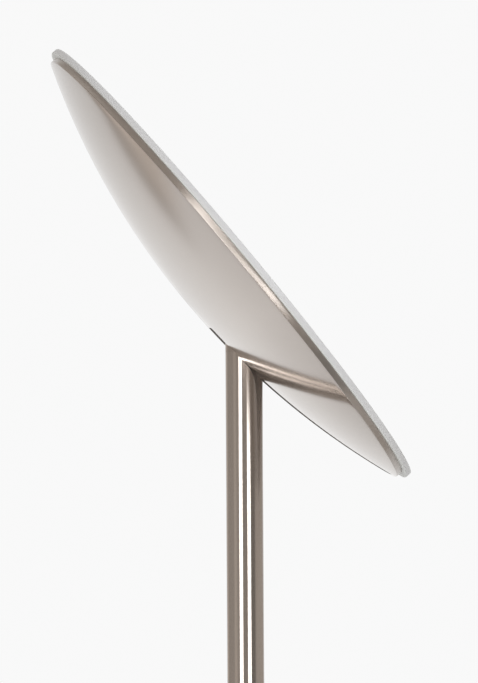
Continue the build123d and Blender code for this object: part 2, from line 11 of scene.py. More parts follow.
import bpy
import numpy as np
from bpy.props import FloatProperty, FloatVectorProperty, PointerProperty
from mathutils import Matrix, Vector


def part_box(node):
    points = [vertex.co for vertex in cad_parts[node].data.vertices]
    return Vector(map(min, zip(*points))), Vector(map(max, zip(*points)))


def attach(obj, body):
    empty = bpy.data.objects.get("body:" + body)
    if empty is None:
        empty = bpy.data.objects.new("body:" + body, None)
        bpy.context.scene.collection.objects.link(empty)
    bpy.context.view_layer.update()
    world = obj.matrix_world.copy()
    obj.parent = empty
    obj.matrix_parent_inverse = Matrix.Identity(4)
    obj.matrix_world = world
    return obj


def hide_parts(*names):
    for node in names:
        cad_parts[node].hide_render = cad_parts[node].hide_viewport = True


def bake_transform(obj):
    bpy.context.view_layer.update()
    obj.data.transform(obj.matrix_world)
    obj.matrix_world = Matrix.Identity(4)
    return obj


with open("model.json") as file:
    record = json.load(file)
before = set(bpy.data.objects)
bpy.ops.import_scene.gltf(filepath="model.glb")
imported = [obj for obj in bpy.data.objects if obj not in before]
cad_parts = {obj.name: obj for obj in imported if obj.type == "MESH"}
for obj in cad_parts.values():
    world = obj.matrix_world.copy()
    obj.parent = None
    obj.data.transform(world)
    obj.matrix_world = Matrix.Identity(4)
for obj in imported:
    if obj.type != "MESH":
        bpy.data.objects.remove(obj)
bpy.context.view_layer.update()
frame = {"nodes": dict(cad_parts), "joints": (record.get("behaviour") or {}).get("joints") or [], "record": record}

bl_info = {
    "name": "Torchiere lamp looks",
    "version": (1, 0, 0),
    "blender": (4, 5, 0),
    "location": "3D View > Sidebar > Lamp",
    "description": "Dresses a tilting torchiere floor lamp in satin nickel and frosted glass",
    "category": "Object",
}

TURN = 2 * pi
SHARP_ANGLE = radians(32)
UV_NAME = "turned_uv"
BRUSHING = "brushing"
BOWL, BAND, LINING, CUT_EDGE_SHADE = range(4)

# Points along the runs of the grids, and columns round them
ARC_POINTS = 7
BOWL_POINTS = 37
LINING_POINTS = 20
SLOT_END_POINTS = 16
SLOT_SIDE_POINTS = 207
SLOT_CORNER_POINTS = 8
CHANNEL_POINTS = 24
FLARE_POINTS = 18
COVER_EDGE_POINTS = 12
POLE_EDGE_POINTS = 4
COVER_COLUMNS = 214
NOTCH_COLUMNS = 25
HOLE_COLUMNS = 41
BEHIND_HOLE_COLUMNS = 86
GLASS_COLUMNS = 240
POLE_COLUMNS = 128
BEZEL_COLUMNS = 96
FITTING_COLUMNS = 72
LEAD_COLUMNS = 24
LEAD_POINTS = 16
FLOOR_RINGS = 24
FLOOR_COLUMNS = 96

# The hinge lead's route: down the slope from the middle of the head, and below the glass
LEAD_ROUTE = ((0.02264, 0.01507), (0.01695, 0.0104), (-0.032, 0.0104))

# Finishes: how far roughness and colour go up and down
GLOSS_SPREAD = 0.06
PLATE_GLOSS_SPREAD = 0.12
PLATE_COLOUR_SPREAD = 0.05
GLASS_COLOUR_SPREAD = 0.012
FLOOR_COLOUR_SPREAD = 0.01

# Finishes: noise in waves per metre and per turn, and patches of colour in widths of the grain
STREAKS_PER_TURN = 5.0
CLOUDS_PER_METRE = 60.0
CLOUDS_PER_TURN = 2.5
ETCH_PER_METRE = 2600.0
GLASS_CLOUDS_PER_METRE = 35.0
FLOOR_CLOUDS_PER_METRE = 40.0
GRAINS_IN_A_PATCH = 12

# Finishes: values of the surface's own sockets
PLATE_METALLIC = 0.91
PLATE_BUMP = 0.5
GRAIN_BUMP = 0.6
GLASS_IOR = 1.5
FLOOR_ROUGHNESS = 0.7
QUARTER_TURN = 0.25

# Stage: the camera's reach in metres, and where the floor is gone and whole as shares of its radius
FAR_CLIP = 100.0
FLOOR_FADE = (0.95, 0.35)

UP = np.array([0.0, 0.0, 1.0])
ALONG_X = np.array([1.0, 0.0, 0.0])
ALONG_Y = np.array([0.0, 1.0, 0.0])
tilt_joint = next(joint for joint in frame["joints"] if joint["name"] == "head_tilt")
node_slots = {part["node"]: part["material_slot"] for part in frame["record"]["subparts"]}


def length(name, default, description):
    """A length for a user to change."""
    return FloatProperty(name=name, description=description, default=default, unit="LENGTH", precision=5)


def colour(name, default, description):
    """A colour for a user to change, in linear light."""
    return FloatVectorProperty(
        name=name, description=description, default=default, subtype="COLOR", min=0.0, max=1.0
    )


def share(name, default, description):
    """A share from 0 to 1 for a user to change."""
    return FloatProperty(
        name=name, description=description, default=default, min=0.0, max=1.0, subtype="FACTOR"
    )


def turn_about(name, default, description):
    """An angle for a user to change, with its default in degrees."""
    return FloatProperty(name=name, description=description, default=radians(default), subtype="ANGLE")


class LampSizes(bpy.types.PropertyGroup):
    """Sizes of the pieces that show."""

    head_tilt: FloatProperty(
        name="Head tilt",
        description="Tilt of the glass from level",
        default=radians(-tilt_joint["range_deg"][0]),
        subtype="ANGLE",
    )
    pivot_height: length("Pivot height", tilt_joint["pos_m"][2], "Tilt axis above the floor")
    pivot_offset: length("Pivot offset", 0.0326, "Tilt axis from the middle of the dish, down the slope")
    pivot_depth: length("Pivot depth", 0.016, "Tilt axis below the underside of the glass")
    glass_radius: length("Glass radius", 0.1485, "Outside of the glass top")
    glass_thickness: length("Glass thickness", 0.0035, "Thickness of the glass top")
    glass_edge: length("Glass edge", 0.0005, "Rounding of the ground edge")
    rim_radius: length("Rim radius", 0.145, "Outside of the dish's rim band")
    rim_top: length("Rim top", 0.0004, "Underside of the glass down to the rim")
    rim_band: length("Rim band", 0.003, "Height of the rim band")
    rim_corner: length("Rim corner", 0.0005, "Rounding of the rim band's lower corner")
    rim_brim: length("Rim brim", 0.00015, "Rounding of the rim band's upper corner")
    rim_crown: length("Rim crown", 0.00003, "How far the band's middle stands out from its edges")
    rim_bead: length("Rim bead", 0.0012, "Width of the bead that meets the glass outside the gasket")
    bead_gap: length("Bead gap", 0.00002, "Underside of the glass down to the bead")
    flange_radius: length("Flange radius", 0.135, "Inside of the rim's inward flange")
    dish_depth: length("Dish depth", 0.0258, "Rim band down to the middle of the bowl")
    dish_sheet: length("Dish sheet", 0.001, "Thickness of the dish's wall")
    slot_start: length("Slot start", 0.0192, "Middle of the dish to the slot's start")
    slot_half: length("Slot half width", 0.0105, "Half of the slot's width")
    slot_top: length("Slot top", 0.0044, "Underside of the glass down to the slot's end")
    slot_corner: length("Slot corner", 0.003, "Rounding at the slot's start")
    channel_gap: length("Channel gap", 0.0004, "Slot's edge to the channel behind it")
    channel_sheet: length("Channel sheet", 0.0005, "Thickness of the slot's channel")
    channel_lip: length("Channel lip", 0.0006, "Least height of the channel's sides")
    channel_depth: length("Channel depth", 0.00495, "Underside of the glass down to the channel")
    channel_start: length("Channel start", 0.0485, "Middle of the head to the channel's hinge end")
    channel_end: length("Channel end", 0.1355, "Middle of the head to the channel's rim end")
    pole_radius: length("Pole radius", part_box("pole_upper")[1].x, "Outside of the pole")
    pole_wall: length("Pole wall", 0.0012, "Thickness of the pole's tube")
    pole_edge: length("Pole edge", 0.0002, "Rounding at the tubes' ends")
    base_radius: length("Base radius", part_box("base_cover")[1].x, "Outside of the base cover")
    base_edge: length("Base edge", 0.008, "Rounding of the base cover")
    cover_sheet: length("Cover sheet", 0.0012, "Thickness of the base cover")
    cover_hem: length("Cover hem", 0.0003, "Rounding of the base cover's lower edge")
    notch_edge: length("Notch edge", 0.00004, "Width over which the cover's notch goes up")
    cover_bore: length("Cover bore", 0.00895, "Radius of the hole under the pole")
    collar_foot: length("Collar foot", 0.0025, "Height of the collar's straight foot")
    collar_fit: length("Collar fit", 0.0001, "Pole to the collar's bore")
    collar_lip: length("Collar lip", 0.002, "Width of the collar's upper lip")
    collar_edge: length("Collar edge", 0.0003, "Rounding of the collar's edges")
    collar_hollow: length("Collar hollow", 0.0016, "Depth of the collar's hollow flare")
    gland_neck: length("Gland neck", 0.0044, "Radius of the gland in the cover's notch")
    gland_bore: length("Gland bore", 0.0033, "Radius of the way in for a cord")
    gland_flange: length("Gland flange", 0.0024, "Thickness of the gland's two flanges")
    gland_gap: length("Gland gap", 0.0002, "Cover to the gland's inner flange")
    gland_edge: length("Gland edge", 0.0002, "Rounding of the gland's small edges")
    gland_mouth: length("Gland mouth", 0.0006, "Rounding of the way in")
    gland_crown: length("Gland crown", 0.0012, "Rounding of the gland's outer flange")
    bezel_bore: length("Bezel bore", 0.0046, "Radius of the hole round the button")
    bezel_room: length("Bezel room", 0.0052, "Radius of the space for the button's lip")
    bezel_sleeve: length("Bezel sleeve", 0.0061, "Radius of the hole in the pole")
    bezel_flange: length("Bezel flange", 0.0069, "Outside of the bezel")
    bezel_face: length("Bezel face", 0.0108, "Pole's axis to the front of the bezel")
    bezel_lip: length("Bezel lip", 0.008, "Pole's axis to the back of the bezel's lip")
    bezel_floor: length("Bezel floor", 0.0061, "Pole's axis to the back of the bezel")
    bezel_edge: length("Bezel edge", 0.0002, "Bevel at the front of the bezel")
    button_radius: length("Button radius", 0.0045, "Outside of the button")
    button_lip: length("Button lip", 0.0007, "Height of the button's lip")
    button_edge: length("Button edge", 0.0001, "Rounding of the button's lip")
    button_crown: length("Button crown", 0.0005, "Rounding of the button's front")
    lead_radius: length("Lead radius", 0.0018, "Outside of the lead's sleeve")


class LampFinishes(bpy.types.PropertyGroup):
    """Colours and gloss of the finishes."""

    nickel: colour("Nickel", (0.56, 0.505, 0.463), "Satin nickel plate")
    bowl_gloss: share("Bowl roughness", 0.112, "Roughness of the spun bowl")
    bowl_grain: share("Bowl grain", 0.8, "How far the bowl's brushing draws highlights out")
    band_gloss: share("Band roughness", 0.31, "Roughness of the rim band")
    band_grain: share("Band grain", 0.95, "How far the band's brushing draws highlights out")
    tube_gloss: share("Tube roughness", 0.2, "Roughness of the pole")
    tube_grain: share("Tube grain", 0.95, "How far the pole's brushing draws highlights out")
    base_gloss: share("Base roughness", 0.24, "Roughness of the base and its fittings")
    base_grain: share("Base grain", 0.8, "How far the base's brushing draws highlights out")
    glass_gloss: share("Glass roughness", 0.44, "Roughness of the etched glass")
    glass_face: colour("Glass face", (0.80, 0.815, 0.81), "Etched face of the glass")
    # Painted shade: the glass drawn greyer where the dish's rim lies under it, not a tint of the glass itself
    glass_rim_shade: colour("Glass ring", (0.66, 0.68, 0.675), "Glass over the dish's rim")
    glass_edge: colour("Glass edge", (0.625, 0.635, 0.65), "Ground edge of the glass")
    # The cut edge is dark partly in its own duller tone and partly with painted shade from the slot
    cut_edge: colour("Cut edge", (0.18, 0.166, 0.155), "Edge of the dish's sheet along the slot")
    lining: colour("Lining", (0.42, 0.378, 0.345), "Warm grey paint inside the dish and its slot")
    rubber: colour("Rubber", (0.022, 0.022, 0.023), "Gasket, pad and gland")
    steel: colour("Steel", (0.58, 0.585, 0.59), "Zinc plated hardware")
    aluminium: colour("Aluminium", (0.72, 0.73, 0.74), "Carrier pan")
    film: colour("Film", (0.86, 0.86, 0.85), "Reflector sheet and strip board")
    acrylic: colour("Acrylic", (0.82, 0.86, 0.88), "Light guide")
    phosphor: colour("Phosphor", (0.85, 0.66, 0.16), "Faces of the light chips")
    plastic: colour("Plastic", (0.028, 0.028, 0.031), "Moulded housings")
    iron: colour("Iron", (0.045, 0.045, 0.046), "Cast weight")
    fibre: colour("Fibre", (0.24, 0.085, 0.045), "Friction washers")


class LampStage(bpy.types.PropertyGroup):
    """Camera, light and floor."""

    view_distance: length("View distance", 2.0, "Camera to the point it looks at")
    view_target: FloatVectorProperty(
        name="View target",
        description="Point that the camera looks at, just below the head",
        default=(-0.0026, 0.0, 1.79482),
        subtype="TRANSLATION",
        precision=5,
    )
    view_turn: turn_about("View turn", 4.68, "Camera's turn about Z")
    view_pitch: turn_about("View pitch", -0.84, "Camera's tilt")
    view_roll: turn_about("View roll", -0.34, "Camera's roll")
    lens: FloatProperty(name="Lens", description="Focal length in mm", default=195.45)
    floor: colour("Floor", (0.86, 0.86, 0.85), "Pale studio floor")
    floor_radius: length("Floor radius", 8.0, "Floor disc, which fades before its edge")
    white: share("White", 0.945, "Background as the camera sees it")
    room: colour("Room", (0.375, 0.342, 0.312), "Studio walls beside the lit paper")
    left_box: turn_about("Left box", -29.3, "Left soft box's turn from the camera's side")
    right_box: turn_about("Right box", 21.7, "Right soft box's turn from the camera's side")
    box_width: turn_about("Box width", 18.8, "Width of each soft box, as an angle")
    box_glow: FloatProperty(name="Box glow", description="Brightness of the soft boxes", default=5.0)


def fold_points(faces, maps, paint):
    """Quads and triangles from a grid's quads, some of whose corners share a point.

    A corner that repeats the one before it is left out. The map and the paint keep the faces' order.
    """
    keep = faces != np.roll(faces, 1, 1)
    four = keep.all(1)
    three = keep.sum(1) == 3
    corners = keep[three]
    quads = faces[four]
    fans = faces[three][corners].reshape(-1, 3)
    flat = np.concatenate([maps[four].reshape(-1, 2), maps[three][corners]])
    return quads, fans, flat, np.concatenate([paint[four], paint[three]])


def volume(points, quads, fans):
    """Six times the volume inside the faces: the sum of the boxes that triangles span with the middle."""
    triangles = np.concatenate([quads[:, [0, 1, 2]], quads[:, [0, 2, 3]], fans])
    a, b, c = np.moveaxis(points[triangles] - points.mean(0), 1, 0)
    return (np.cross(a, b) * c).sum()


def chain(rows, closed=True):
    """Each row with the next one, and the last with the first where the rows close up."""
    row = np.arange(rows)
    pairs = np.stack([row, np.roll(row, -1)], -1)
    return pairs if closed else pairs[:-1]


def make_skin(
    name, points, along, turn, strips, body, slot, materials, replaced, number=None, paint=None, kept=None
):
    """A closed skin over a grid of points, as a smooth mesh that is tied to a body of the frame.

    Rows follow the profile and columns go round. Each strip of faces lies between two rows. The map is the
    share of a turn and the length along the profile. Points with the same number are one point. Paint picks
    a material for each strip, and kept says which of a strip's faces are there.
    """
    rows, columns = points.shape[:2]
    if number is None:
        number = np.arange(rows * columns).reshape(rows, columns)
    if kept is None:
        kept = np.ones((len(strips), columns), bool)
    strip, column = np.nonzero(kept)
    first, last = strips[strip].T
    corner_row = np.stack([first, first, last, last], -1)
    corner_column = np.stack([column, column + 1, column + 1, column], -1) % columns
    corner_turn = turn[corner_row, corner_column]
    corner_turn = corner_turn - np.round(corner_turn - corner_turn[:, :1])
    maps = np.stack([corner_turn, along[corner_row, corner_column]], -1)
    used, faces = np.unique(number[corner_row, corner_column], return_inverse=True)
    paint = np.zeros(len(strips), int) if paint is None else paint
    quads, fans, flat, painted = fold_points(faces.reshape(-1, 4), maps, paint[strip])
    flat_points = points.reshape(-1, 3)[used]
    if volume(flat_points, quads, fans) < 0:
        corners = 4 * len(quads)
        flat[:corners] = flat[:corners].reshape(-1, 4, 2)[:, ::-1].reshape(-1, 2)
        flat[corners:] = flat[corners:].reshape(-1, 3, 2)[:, ::-1].reshape(-1, 2)
        quads, fans = quads[:, ::-1], fans[:, ::-1]
    brushing = np.stack([along, np.cos(turn * TURN), np.sin(turn * TURN)], -1).reshape(-1, 3)[used]

    mesh = bpy.data.meshes.new(name)
    mesh.from_pydata(flat_points, [], quads.tolist() + fans.tolist())
    uv = mesh.uv_layers.new(name=UV_NAME)
    uv.data.foreach_set("uv", flat.astype(np.float32).ravel())
    attribute = mesh.attributes.new(BRUSHING, "FLOAT_VECTOR", "POINT")
    attribute.data.foreach_set("vector", brushing.astype(np.float32).ravel())
    for material in materials:
        mesh.materials.append(finish_named(material))
    mesh.polygons.foreach_set("material_index", painted.astype(np.int32))
    mesh.shade_smooth()
    mesh.set_sharp_from_angle(angle=SHARP_ANGLE)
    mesh.update()
    if mesh.validate():
        raise RuntimeError(f"{name} has faulty faces")
    piece = bpy.data.objects.new(name, mesh)
    bpy.context.scene.collection.objects.link(piece)
    if body:
        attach(piece, body)
    if replaced:
        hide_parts(*replaced)
    return piece


def rounded(corners, radii, steps=6):
    """A profile with its corners rounded: each corner becomes an arc that meets both of its sides.

    The arc's middle lies on the corner's bisector, at its radius over the sine of half the corner.
    """
    corners = np.asarray(corners, float)
    before = np.roll(corners, 1, 0) - corners
    after = np.roll(corners, -1, 0) - corners
    runs = []
    for corner, back, on, radius in zip(corners, before, after, radii):
        if not radius:
            runs.append(corner[None])
            continue
        back = back / np.linalg.norm(back)
        on = on / np.linalg.norm(on)
        half = np.arccos(np.clip(back @ on, -1, 1)) / 2
        middle = corner + (back + on) / np.linalg.norm(back + on) * radius / sin(half)
        first = corner + back * radius / np.tan(half) - middle
        last = corner + on * radius / np.tan(half) - middle
        part = np.linspace(0, 1, steps)[:, None]
        spread = pi - 2 * half
        arc = np.sin((1 - part) * spread) * first + np.sin(part * spread) * last
        runs.append(middle + arc / sin(spread))
    return np.concatenate(runs)


def climb(profile):
    """Length along a profile, from its first point to each of its points."""
    return np.cumsum(np.linalg.norm(np.diff(profile, axis=0, prepend=profile[:1]), axis=1))


def turned(name, profile, origin, axis, side, columns, closed=True, **ties):
    """A profile of radius and height, turned about an axis.

    A point is origin + radius (cos t side + sin t across) + height axis. A closed profile gives a ring. An
    open one starts and ends on the axis, where its quads narrow to triangles round one point.
    """
    profile = np.asarray(profile, float)
    rows = len(profile)
    turn = np.arange(columns) / columns
    round_axis = np.cos(turn * TURN)[:, None] * side + np.sin(turn * TURN)[:, None] * np.cross(axis, side)
    points = origin + profile[:, 0, None, None] * round_axis + profile[:, 1, None, None] * axis
    number = np.arange(rows * columns).reshape(rows, columns)
    number = np.where(profile[:, :1] == 0, number[:, :1], number)
    along = np.broadcast_to(climb(profile)[:, None], (rows, columns))
    turn = np.broadcast_to(turn, (rows, columns))
    return make_skin(name, points, along, turn, chain(rows, closed), number=number, **ties)


def dimmer_height():
    """Height of the dimmer's middle."""
    low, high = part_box("dimmer_button")
    return (low.z + high.z) / 2


def gland_height():
    """Height of the gland's middle."""
    low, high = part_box("cord_gland")
    return (low.z + high.z) / 2


def head_frame(sizes):
    """Origin and directions of the head: down the slope, across, and out of the glass.

    The origin is the middle of the underside of the glass.
    """
    outward = np.array([sin(sizes.head_tilt), 0.0, cos(sizes.head_tilt)])
    downhill = np.array([cos(sizes.head_tilt), 0.0, -sin(sizes.head_tilt)])
    pivot = np.array([0.0, 0.0, sizes.pivot_height])
    origin = pivot - downhill * sizes.pivot_offset + outward * sizes.pivot_depth
    return origin, downhill, ALONG_Y, outward


def slot_outline(sizes, end_radius):
    """The slot in plan, once round: an end that follows the bowl, two straight sides and a rounded start.

    A side's points are spaced by equal angles about the slot's middle, x = middle + half width / tan angle.
    """
    half, start, corner = sizes.slot_half, sizes.slot_start, sizes.slot_corner

    def run(first, last, points):
        return np.linspace(first, last, points, endpoint=False)

    end = sqrt(end_radius**2 - half**2)
    middle = (start + end) / 2
    swing = np.arcsin(half / end_radius)
    end_turn = run(-swing, swing, SLOT_END_POINTS)
    first = np.arctan2(half, end - middle)
    last = np.arctan2(half, start + corner - middle)
    side_x = middle + half / np.tan(run(first, last, SLOT_SIDE_POINTS))
    corner_turn = run(pi / 2, pi, SLOT_CORNER_POINTS)
    start_y = run(half - corner, corner - half, SLOT_CORNER_POINTS)
    low_turn = run(pi, 1.5 * pi, SLOT_CORNER_POINTS)
    back_x = middle + half / np.tan(run(last, first, SLOT_SIDE_POINTS))
    x = [
        end_radius * np.cos(end_turn),
        side_x,
        start + corner + corner * np.cos(corner_turn),
        np.full(start_y.shape, start),
        start + corner + corner * np.cos(low_turn),
        back_x,
    ]
    y = [
        end_radius * np.sin(end_turn),
        np.full(side_x.shape, half),
        half - corner + corner * np.sin(corner_turn),
        start_y,
        corner - half + corner * np.sin(low_turn),
        np.full(back_x.shape, -half),
    ]
    return np.stack([np.concatenate(x), np.concatenate(y)], -1), np.array([middle, 0.0])


def rim_angles(outline, middle, radius):
    """Where rays from the slot's middle through its outline cross the rim, as angles about the head."""
    ray = outline - middle
    a = (ray**2).sum(-1)
    b = ray @ middle
    c = middle @ middle - radius**2
    reach = (-b + np.sqrt(b**2 - a * c)) / a
    crossing = middle + reach[:, None] * ray
    return np.arctan2(crossing[:, 1], crossing[:, 0])


def dish_surface(sizes):
    """The dish's whole skin as one grid, closed both ways, in the head's own directions.

    A column starts on the slot's outline and runs out over the bowl to the rim, over the band, round the
    inward flange and back inside the bowl to the slot. On the bowl, height = centre - sqrt(radius^2 - r^2).
    """
    rim, sheet, corner = sizes.rim_radius, sizes.dish_sheet, sizes.rim_corner
    band_bottom = sizes.rim_top + sizes.rim_band
    bowl = (rim**2 + sizes.dish_depth**2) / (2 * sizes.dish_depth)
    centre = bowl - band_bottom - sizes.dish_depth

    def bowl_height(radius, sphere):
        """Height at a radius, on a sphere about the bowl's centre."""
        return centre - np.sqrt(sphere**2 - radius**2)

    outline, middle = slot_outline(sizes, sqrt(bowl**2 - (centre + sizes.slot_top) ** 2))
    inner_outline, _ = slot_outline(sizes, sqrt((bowl - sheet) ** 2 - (centre + sizes.slot_top) ** 2))
    angle = rim_angles(outline, middle, rim)
    ring = np.stack([np.cos(angle), np.sin(angle)], -1)

    corner_radius = rim - corner
    corner_height = bowl_height(corner_radius, bowl - corner)
    meet_radius = corner_radius * bowl / (bowl - corner)
    meet_turn = np.arctan2(bowl_height(meet_radius, bowl) - corner_height, meet_radius - corner_radius)
    low_turn = np.linspace(meet_turn, 0, ARC_POINTS)
    top_turn = np.linspace(0, pi / 2, ARC_POINTS)
    band_rise = np.linspace(0, 1, ARC_POINTS)[1:-1]
    bead_top, brim = -sizes.bead_gap, sizes.rim_brim
    top_height = bead_top - brim
    bow = sizes.rim_crown * (1 - (2 * band_rise - 1) ** 2)
    flange, under = sizes.flange_radius, -sizes.rim_top
    bead = rim - sizes.rim_bead
    low_arc = [corner_radius + corner * np.cos(low_turn), corner_height + corner * np.sin(low_turn)]
    band = [rim + bow, corner_height + band_rise * (top_height - corner_height)]
    top_arc = [rim + brim * (np.cos(top_turn) - 1), top_height + brim * np.sin(top_turn)]
    rim_profile = np.concatenate(
        [
            np.stack(low_arc, -1),
            np.stack(band, -1),
            np.stack(top_arc, -1),
            [[bead, bead_top], [bead, under]],
            [[flange, under], [flange, under - sheet], [rim - sheet, under - sheet]],
        ]
    )
    # The band's crown stays within the rim's radius
    rim_profile[:, 0] -= sizes.rim_crown * (rim_profile[:, 0] > flange)

    out = np.linspace(0, 1, BOWL_POINTS, endpoint=False)[:, None, None]
    plan_out = (1 - out) * outline + out * ring * (meet_radius - sizes.rim_crown)
    back = np.linspace(0, 1, LINING_POINTS)[:, None, None]
    plan_back = (1 - back) * ring * (rim - sheet) + back * inner_outline
    plan_rim = rim_profile[:, 0, None, None] * ring
    rim_height = np.broadcast_to(rim_profile[:, 1, None], plan_rim.shape[:2])
    plan = np.concatenate([plan_out, plan_rim, plan_back])
    reach_out = np.linalg.norm(plan_out, axis=-1)
    reach_back = np.linalg.norm(plan_back, axis=-1)
    outside, inside = bowl_height(reach_out, bowl), bowl_height(reach_back, bowl - sheet)
    height = np.concatenate([outside, rim_height, inside])
    along_rim = np.broadcast_to(rim + climb(rim_profile)[:, None], plan_rim.shape[:2])
    along = np.concatenate([reach_out, along_rim, 1 - reach_back])
    band_start = len(plan_out) + ARC_POINTS // 2
    inside_start = len(plan_out) + len(rim_profile)
    paint = np.full(len(plan), BOWL)
    paint[band_start:inside_start] = BAND
    paint[inside_start:] = LINING
    # The last strip, the sheet's cut face along the slot, takes the dark cut edge finish: partly its own tone,
    # partly painted shade
    paint[-1] = CUT_EDGE_SHADE
    return plan, height, along, paint


def make_dish(sizes):
    """The slotted dish, placed in the lamp, with its map running round the head."""
    plan, height, along, paint = dish_surface(sizes)
    origin, downhill, across, outward = head_frame(sizes)
    points = origin + plan[..., :1] * downhill + plan[..., 1:] * across + height[..., None] * outward
    turn = np.arctan2(plan[..., 1], plan[..., 0]) / TURN
    make_skin(
        "dish",
        points,
        along,
        turn,
        chain(len(plan)),
        body="head",
        slot="satin_nickel",
        materials=["spun_nickel", "band_nickel", "dish_lining", "cut_edge"],
        replaced=["dish_shell"],
        paint=paint,
    )


def make_channel(sizes):
    """A thin channel inside the slot, which hides the inside of the dish, from the hinge out to the rim.

    Its section is a U whose top lies under the carrier pan. Its sides reach down to the bowl's inside, at
    height = centre - sqrt(radius^2 - r^2). The section's points are carried along the slot, and at each end
    the inner points fall on the outer ones, which closes the U.
    """
    sphere = (sizes.rim_radius**2 + sizes.dish_depth**2) / (2 * sizes.dish_depth)
    centre = sphere - sizes.rim_top - sizes.rim_band - sizes.dish_depth
    half, sheet = sizes.slot_half + sizes.channel_gap, sizes.channel_sheet
    origin, downhill, across, outward = head_frame(sizes)
    top = -sizes.channel_depth
    x = np.pad(np.linspace(sizes.channel_start, sizes.channel_end, CHANNEL_POINTS), 1, "edge")[:, None]
    side = np.array([-1, -1, 1, 1, 1, 1, -1, -1])
    outer = np.array([1, 1, 1, 1, 0, 0, 0, 0])
    foot = np.array([True, False, False, True, True, False, False, True])
    ends = [0, 1, 2, 3, 3, 2, 1, 0]
    rows, columns = len(x), len(side)
    y = np.broadcast_to(side * (half + sheet * outer), (rows, columns))
    bowl = centre - np.sqrt((sphere - sizes.dish_sheet) ** 2 - x**2 - y**2)
    height = np.where(foot, np.minimum(bowl, top - sizes.channel_lip), top - sheet * (1 - outer))
    points = origin + x[..., None] * downhill + y[..., None] * across + height[..., None] * outward
    number = np.arange(rows * columns).reshape(rows, columns)
    number[0], number[-1] = number[1, ends], number[-2, ends]
    make_skin(
        "slot_channel",
        points,
        np.broadcast_to(x, number.shape),
        np.broadcast_to(np.arange(columns) / columns, number.shape),
        chain(rows, False),
        body="head",
        slot="white_film",
        materials=["dish_lining"],
        replaced=[],
        number=number,
    )


class Nodes:
    """A node tree, with short ways to add and join nodes."""

    def __init__(self, tree):
        self.tree = tree

    def add(self, kind, inputs=None, **settings):
        """A node with its settings, and its sockets set to a value or joined to another node's socket."""
        made = self.tree.nodes.new(kind)
        for key, value in settings.items():
            setattr(made, key, value)
        self.set(made, inputs or {})
        return made

    def set(self, made, inputs):
        """Set or join sockets of a node, by name or number."""
        for key, value in inputs.items():
            if isinstance(value, bpy.types.NodeSocket):
                self.tree.links.new(value, made.inputs[key])
            else:
                made.inputs[key].default_value = value

    def sum(self, operation, first, second=0.0):
        """One step of arithmetic."""
        return self.add("ShaderNodeMath", {0: first, 1: second}, operation=operation).outputs[0]

    def mix(self, factor, low, high):
        """A colour between two colours."""
        made = self.add("ShaderNodeMix", data_type="RGBA")
        self.set(made, {0: factor, 6: self.opaque(low), 7: self.opaque(high)})
        return made.outputs[2]

    def opaque(self, value):
        """A colour with its alpha, or a socket as it is."""
        return value if isinstance(value, bpy.types.NodeSocket) else (*value[:3], 1.0)

    def ramp(self, value, start, end, low=0.0, high=1.0, kind="SMOOTHSTEP"):
        """A number that goes from low to high as a value goes from start to end."""
        limits = {"Value": value, "From Min": start, "From Max": end, "To Min": low, "To Max": high}
        return self.add("ShaderNodeMapRange", limits, interpolation_type=kind).outputs["Result"]


class Shader(Nodes):
    """A material's nodes."""

    def __init__(self, name):
        self.material = bpy.data.materials.new(name)
        self.material.use_nodes = True
        super().__init__(self.material.node_tree)
        self.surface = self.tree.nodes["Principled BSDF"]

    def finish(self, **inputs):
        """Set the surface's sockets, whose names have _ for a space."""
        self.set(self.surface, {key.replace("_", " "): value for key, value in inputs.items()})
        return self.material

    def vary(self, base, amount, factor):
        """A colour that goes from darker to lighter by an amount, as a factor goes from 0 to 1."""
        low = [part * (1 - amount) for part in base]
        high = [min(part * (1 + amount), 1.0) for part in base]
        return self.mix(factor, low, high)

    def noise(self, vector, scale, detail=2.0):
        """Noise over a vector, about 0 to 1."""
        made = self.add("ShaderNodeTexNoise", {"Vector": vector, "Scale": scale, "Detail": detail})
        return made.outputs["Fac"]

    def bump(self, height, depth, strength=1.0):
        """A normal raised by a height from 0 to 1, over a depth in metres."""
        made = self.add("ShaderNodeBump", {"Strength": strength, "Distance": depth, "Height": height})
        return made.outputs["Normal"]

    def place(self):
        """Object coordinates."""
        return self.add("ShaderNodeTexCoord").outputs["Object"]

    def brushing(self):
        """The piece's own brushing: length along its profile, then the cosine and sine of its turn."""
        return self.add("ShaderNodeAttribute", attribute_name=BRUSHING).outputs["Vector"]


def brushed_nickel(name, base, roughness, grain, lines, depth):
    """Plated metal with fine brushing round the form: noise drawn out along the turning direction.

    Lines are counted per metre along the profile, and the depth is theirs in metres.
    """
    shader = Shader(name)
    brushing = shader.brushing()
    fine_scale = (lines, STREAKS_PER_TURN, STREAKS_PER_TURN)
    broad_scale = (CLOUDS_PER_METRE, CLOUDS_PER_TURN, CLOUDS_PER_TURN)
    fine = shader.add("ShaderNodeMapping", {"Vector": brushing, "Scale": fine_scale})
    broad = shader.add("ShaderNodeMapping", {"Vector": brushing, "Scale": broad_scale})
    streak = shader.noise(fine.outputs["Vector"], 1.0, 3.0)
    cloud = shader.noise(broad.outputs["Vector"], 1.0)
    tangent = shader.add("ShaderNodeTangent", direction_type="UV_MAP", uv_map=UV_NAME)
    smooth, rough = (1 - PLATE_GLOSS_SPREAD) * roughness, (1 + PLATE_GLOSS_SPREAD) * roughness
    return shader.finish(
        Base_Color=shader.vary(base, PLATE_COLOUR_SPREAD, streak),
        Metallic=PLATE_METALLIC,
        Roughness=shader.ramp(cloud, 0.0, 1.0, smooth, rough, "LINEAR"),
        Anisotropic=grain,
        Anisotropic_Rotation=QUARTER_TURN,
        Tangent=tangent.outputs["Tangent"],
        Normal=shader.bump(streak, depth, PLATE_BUMP),
    )


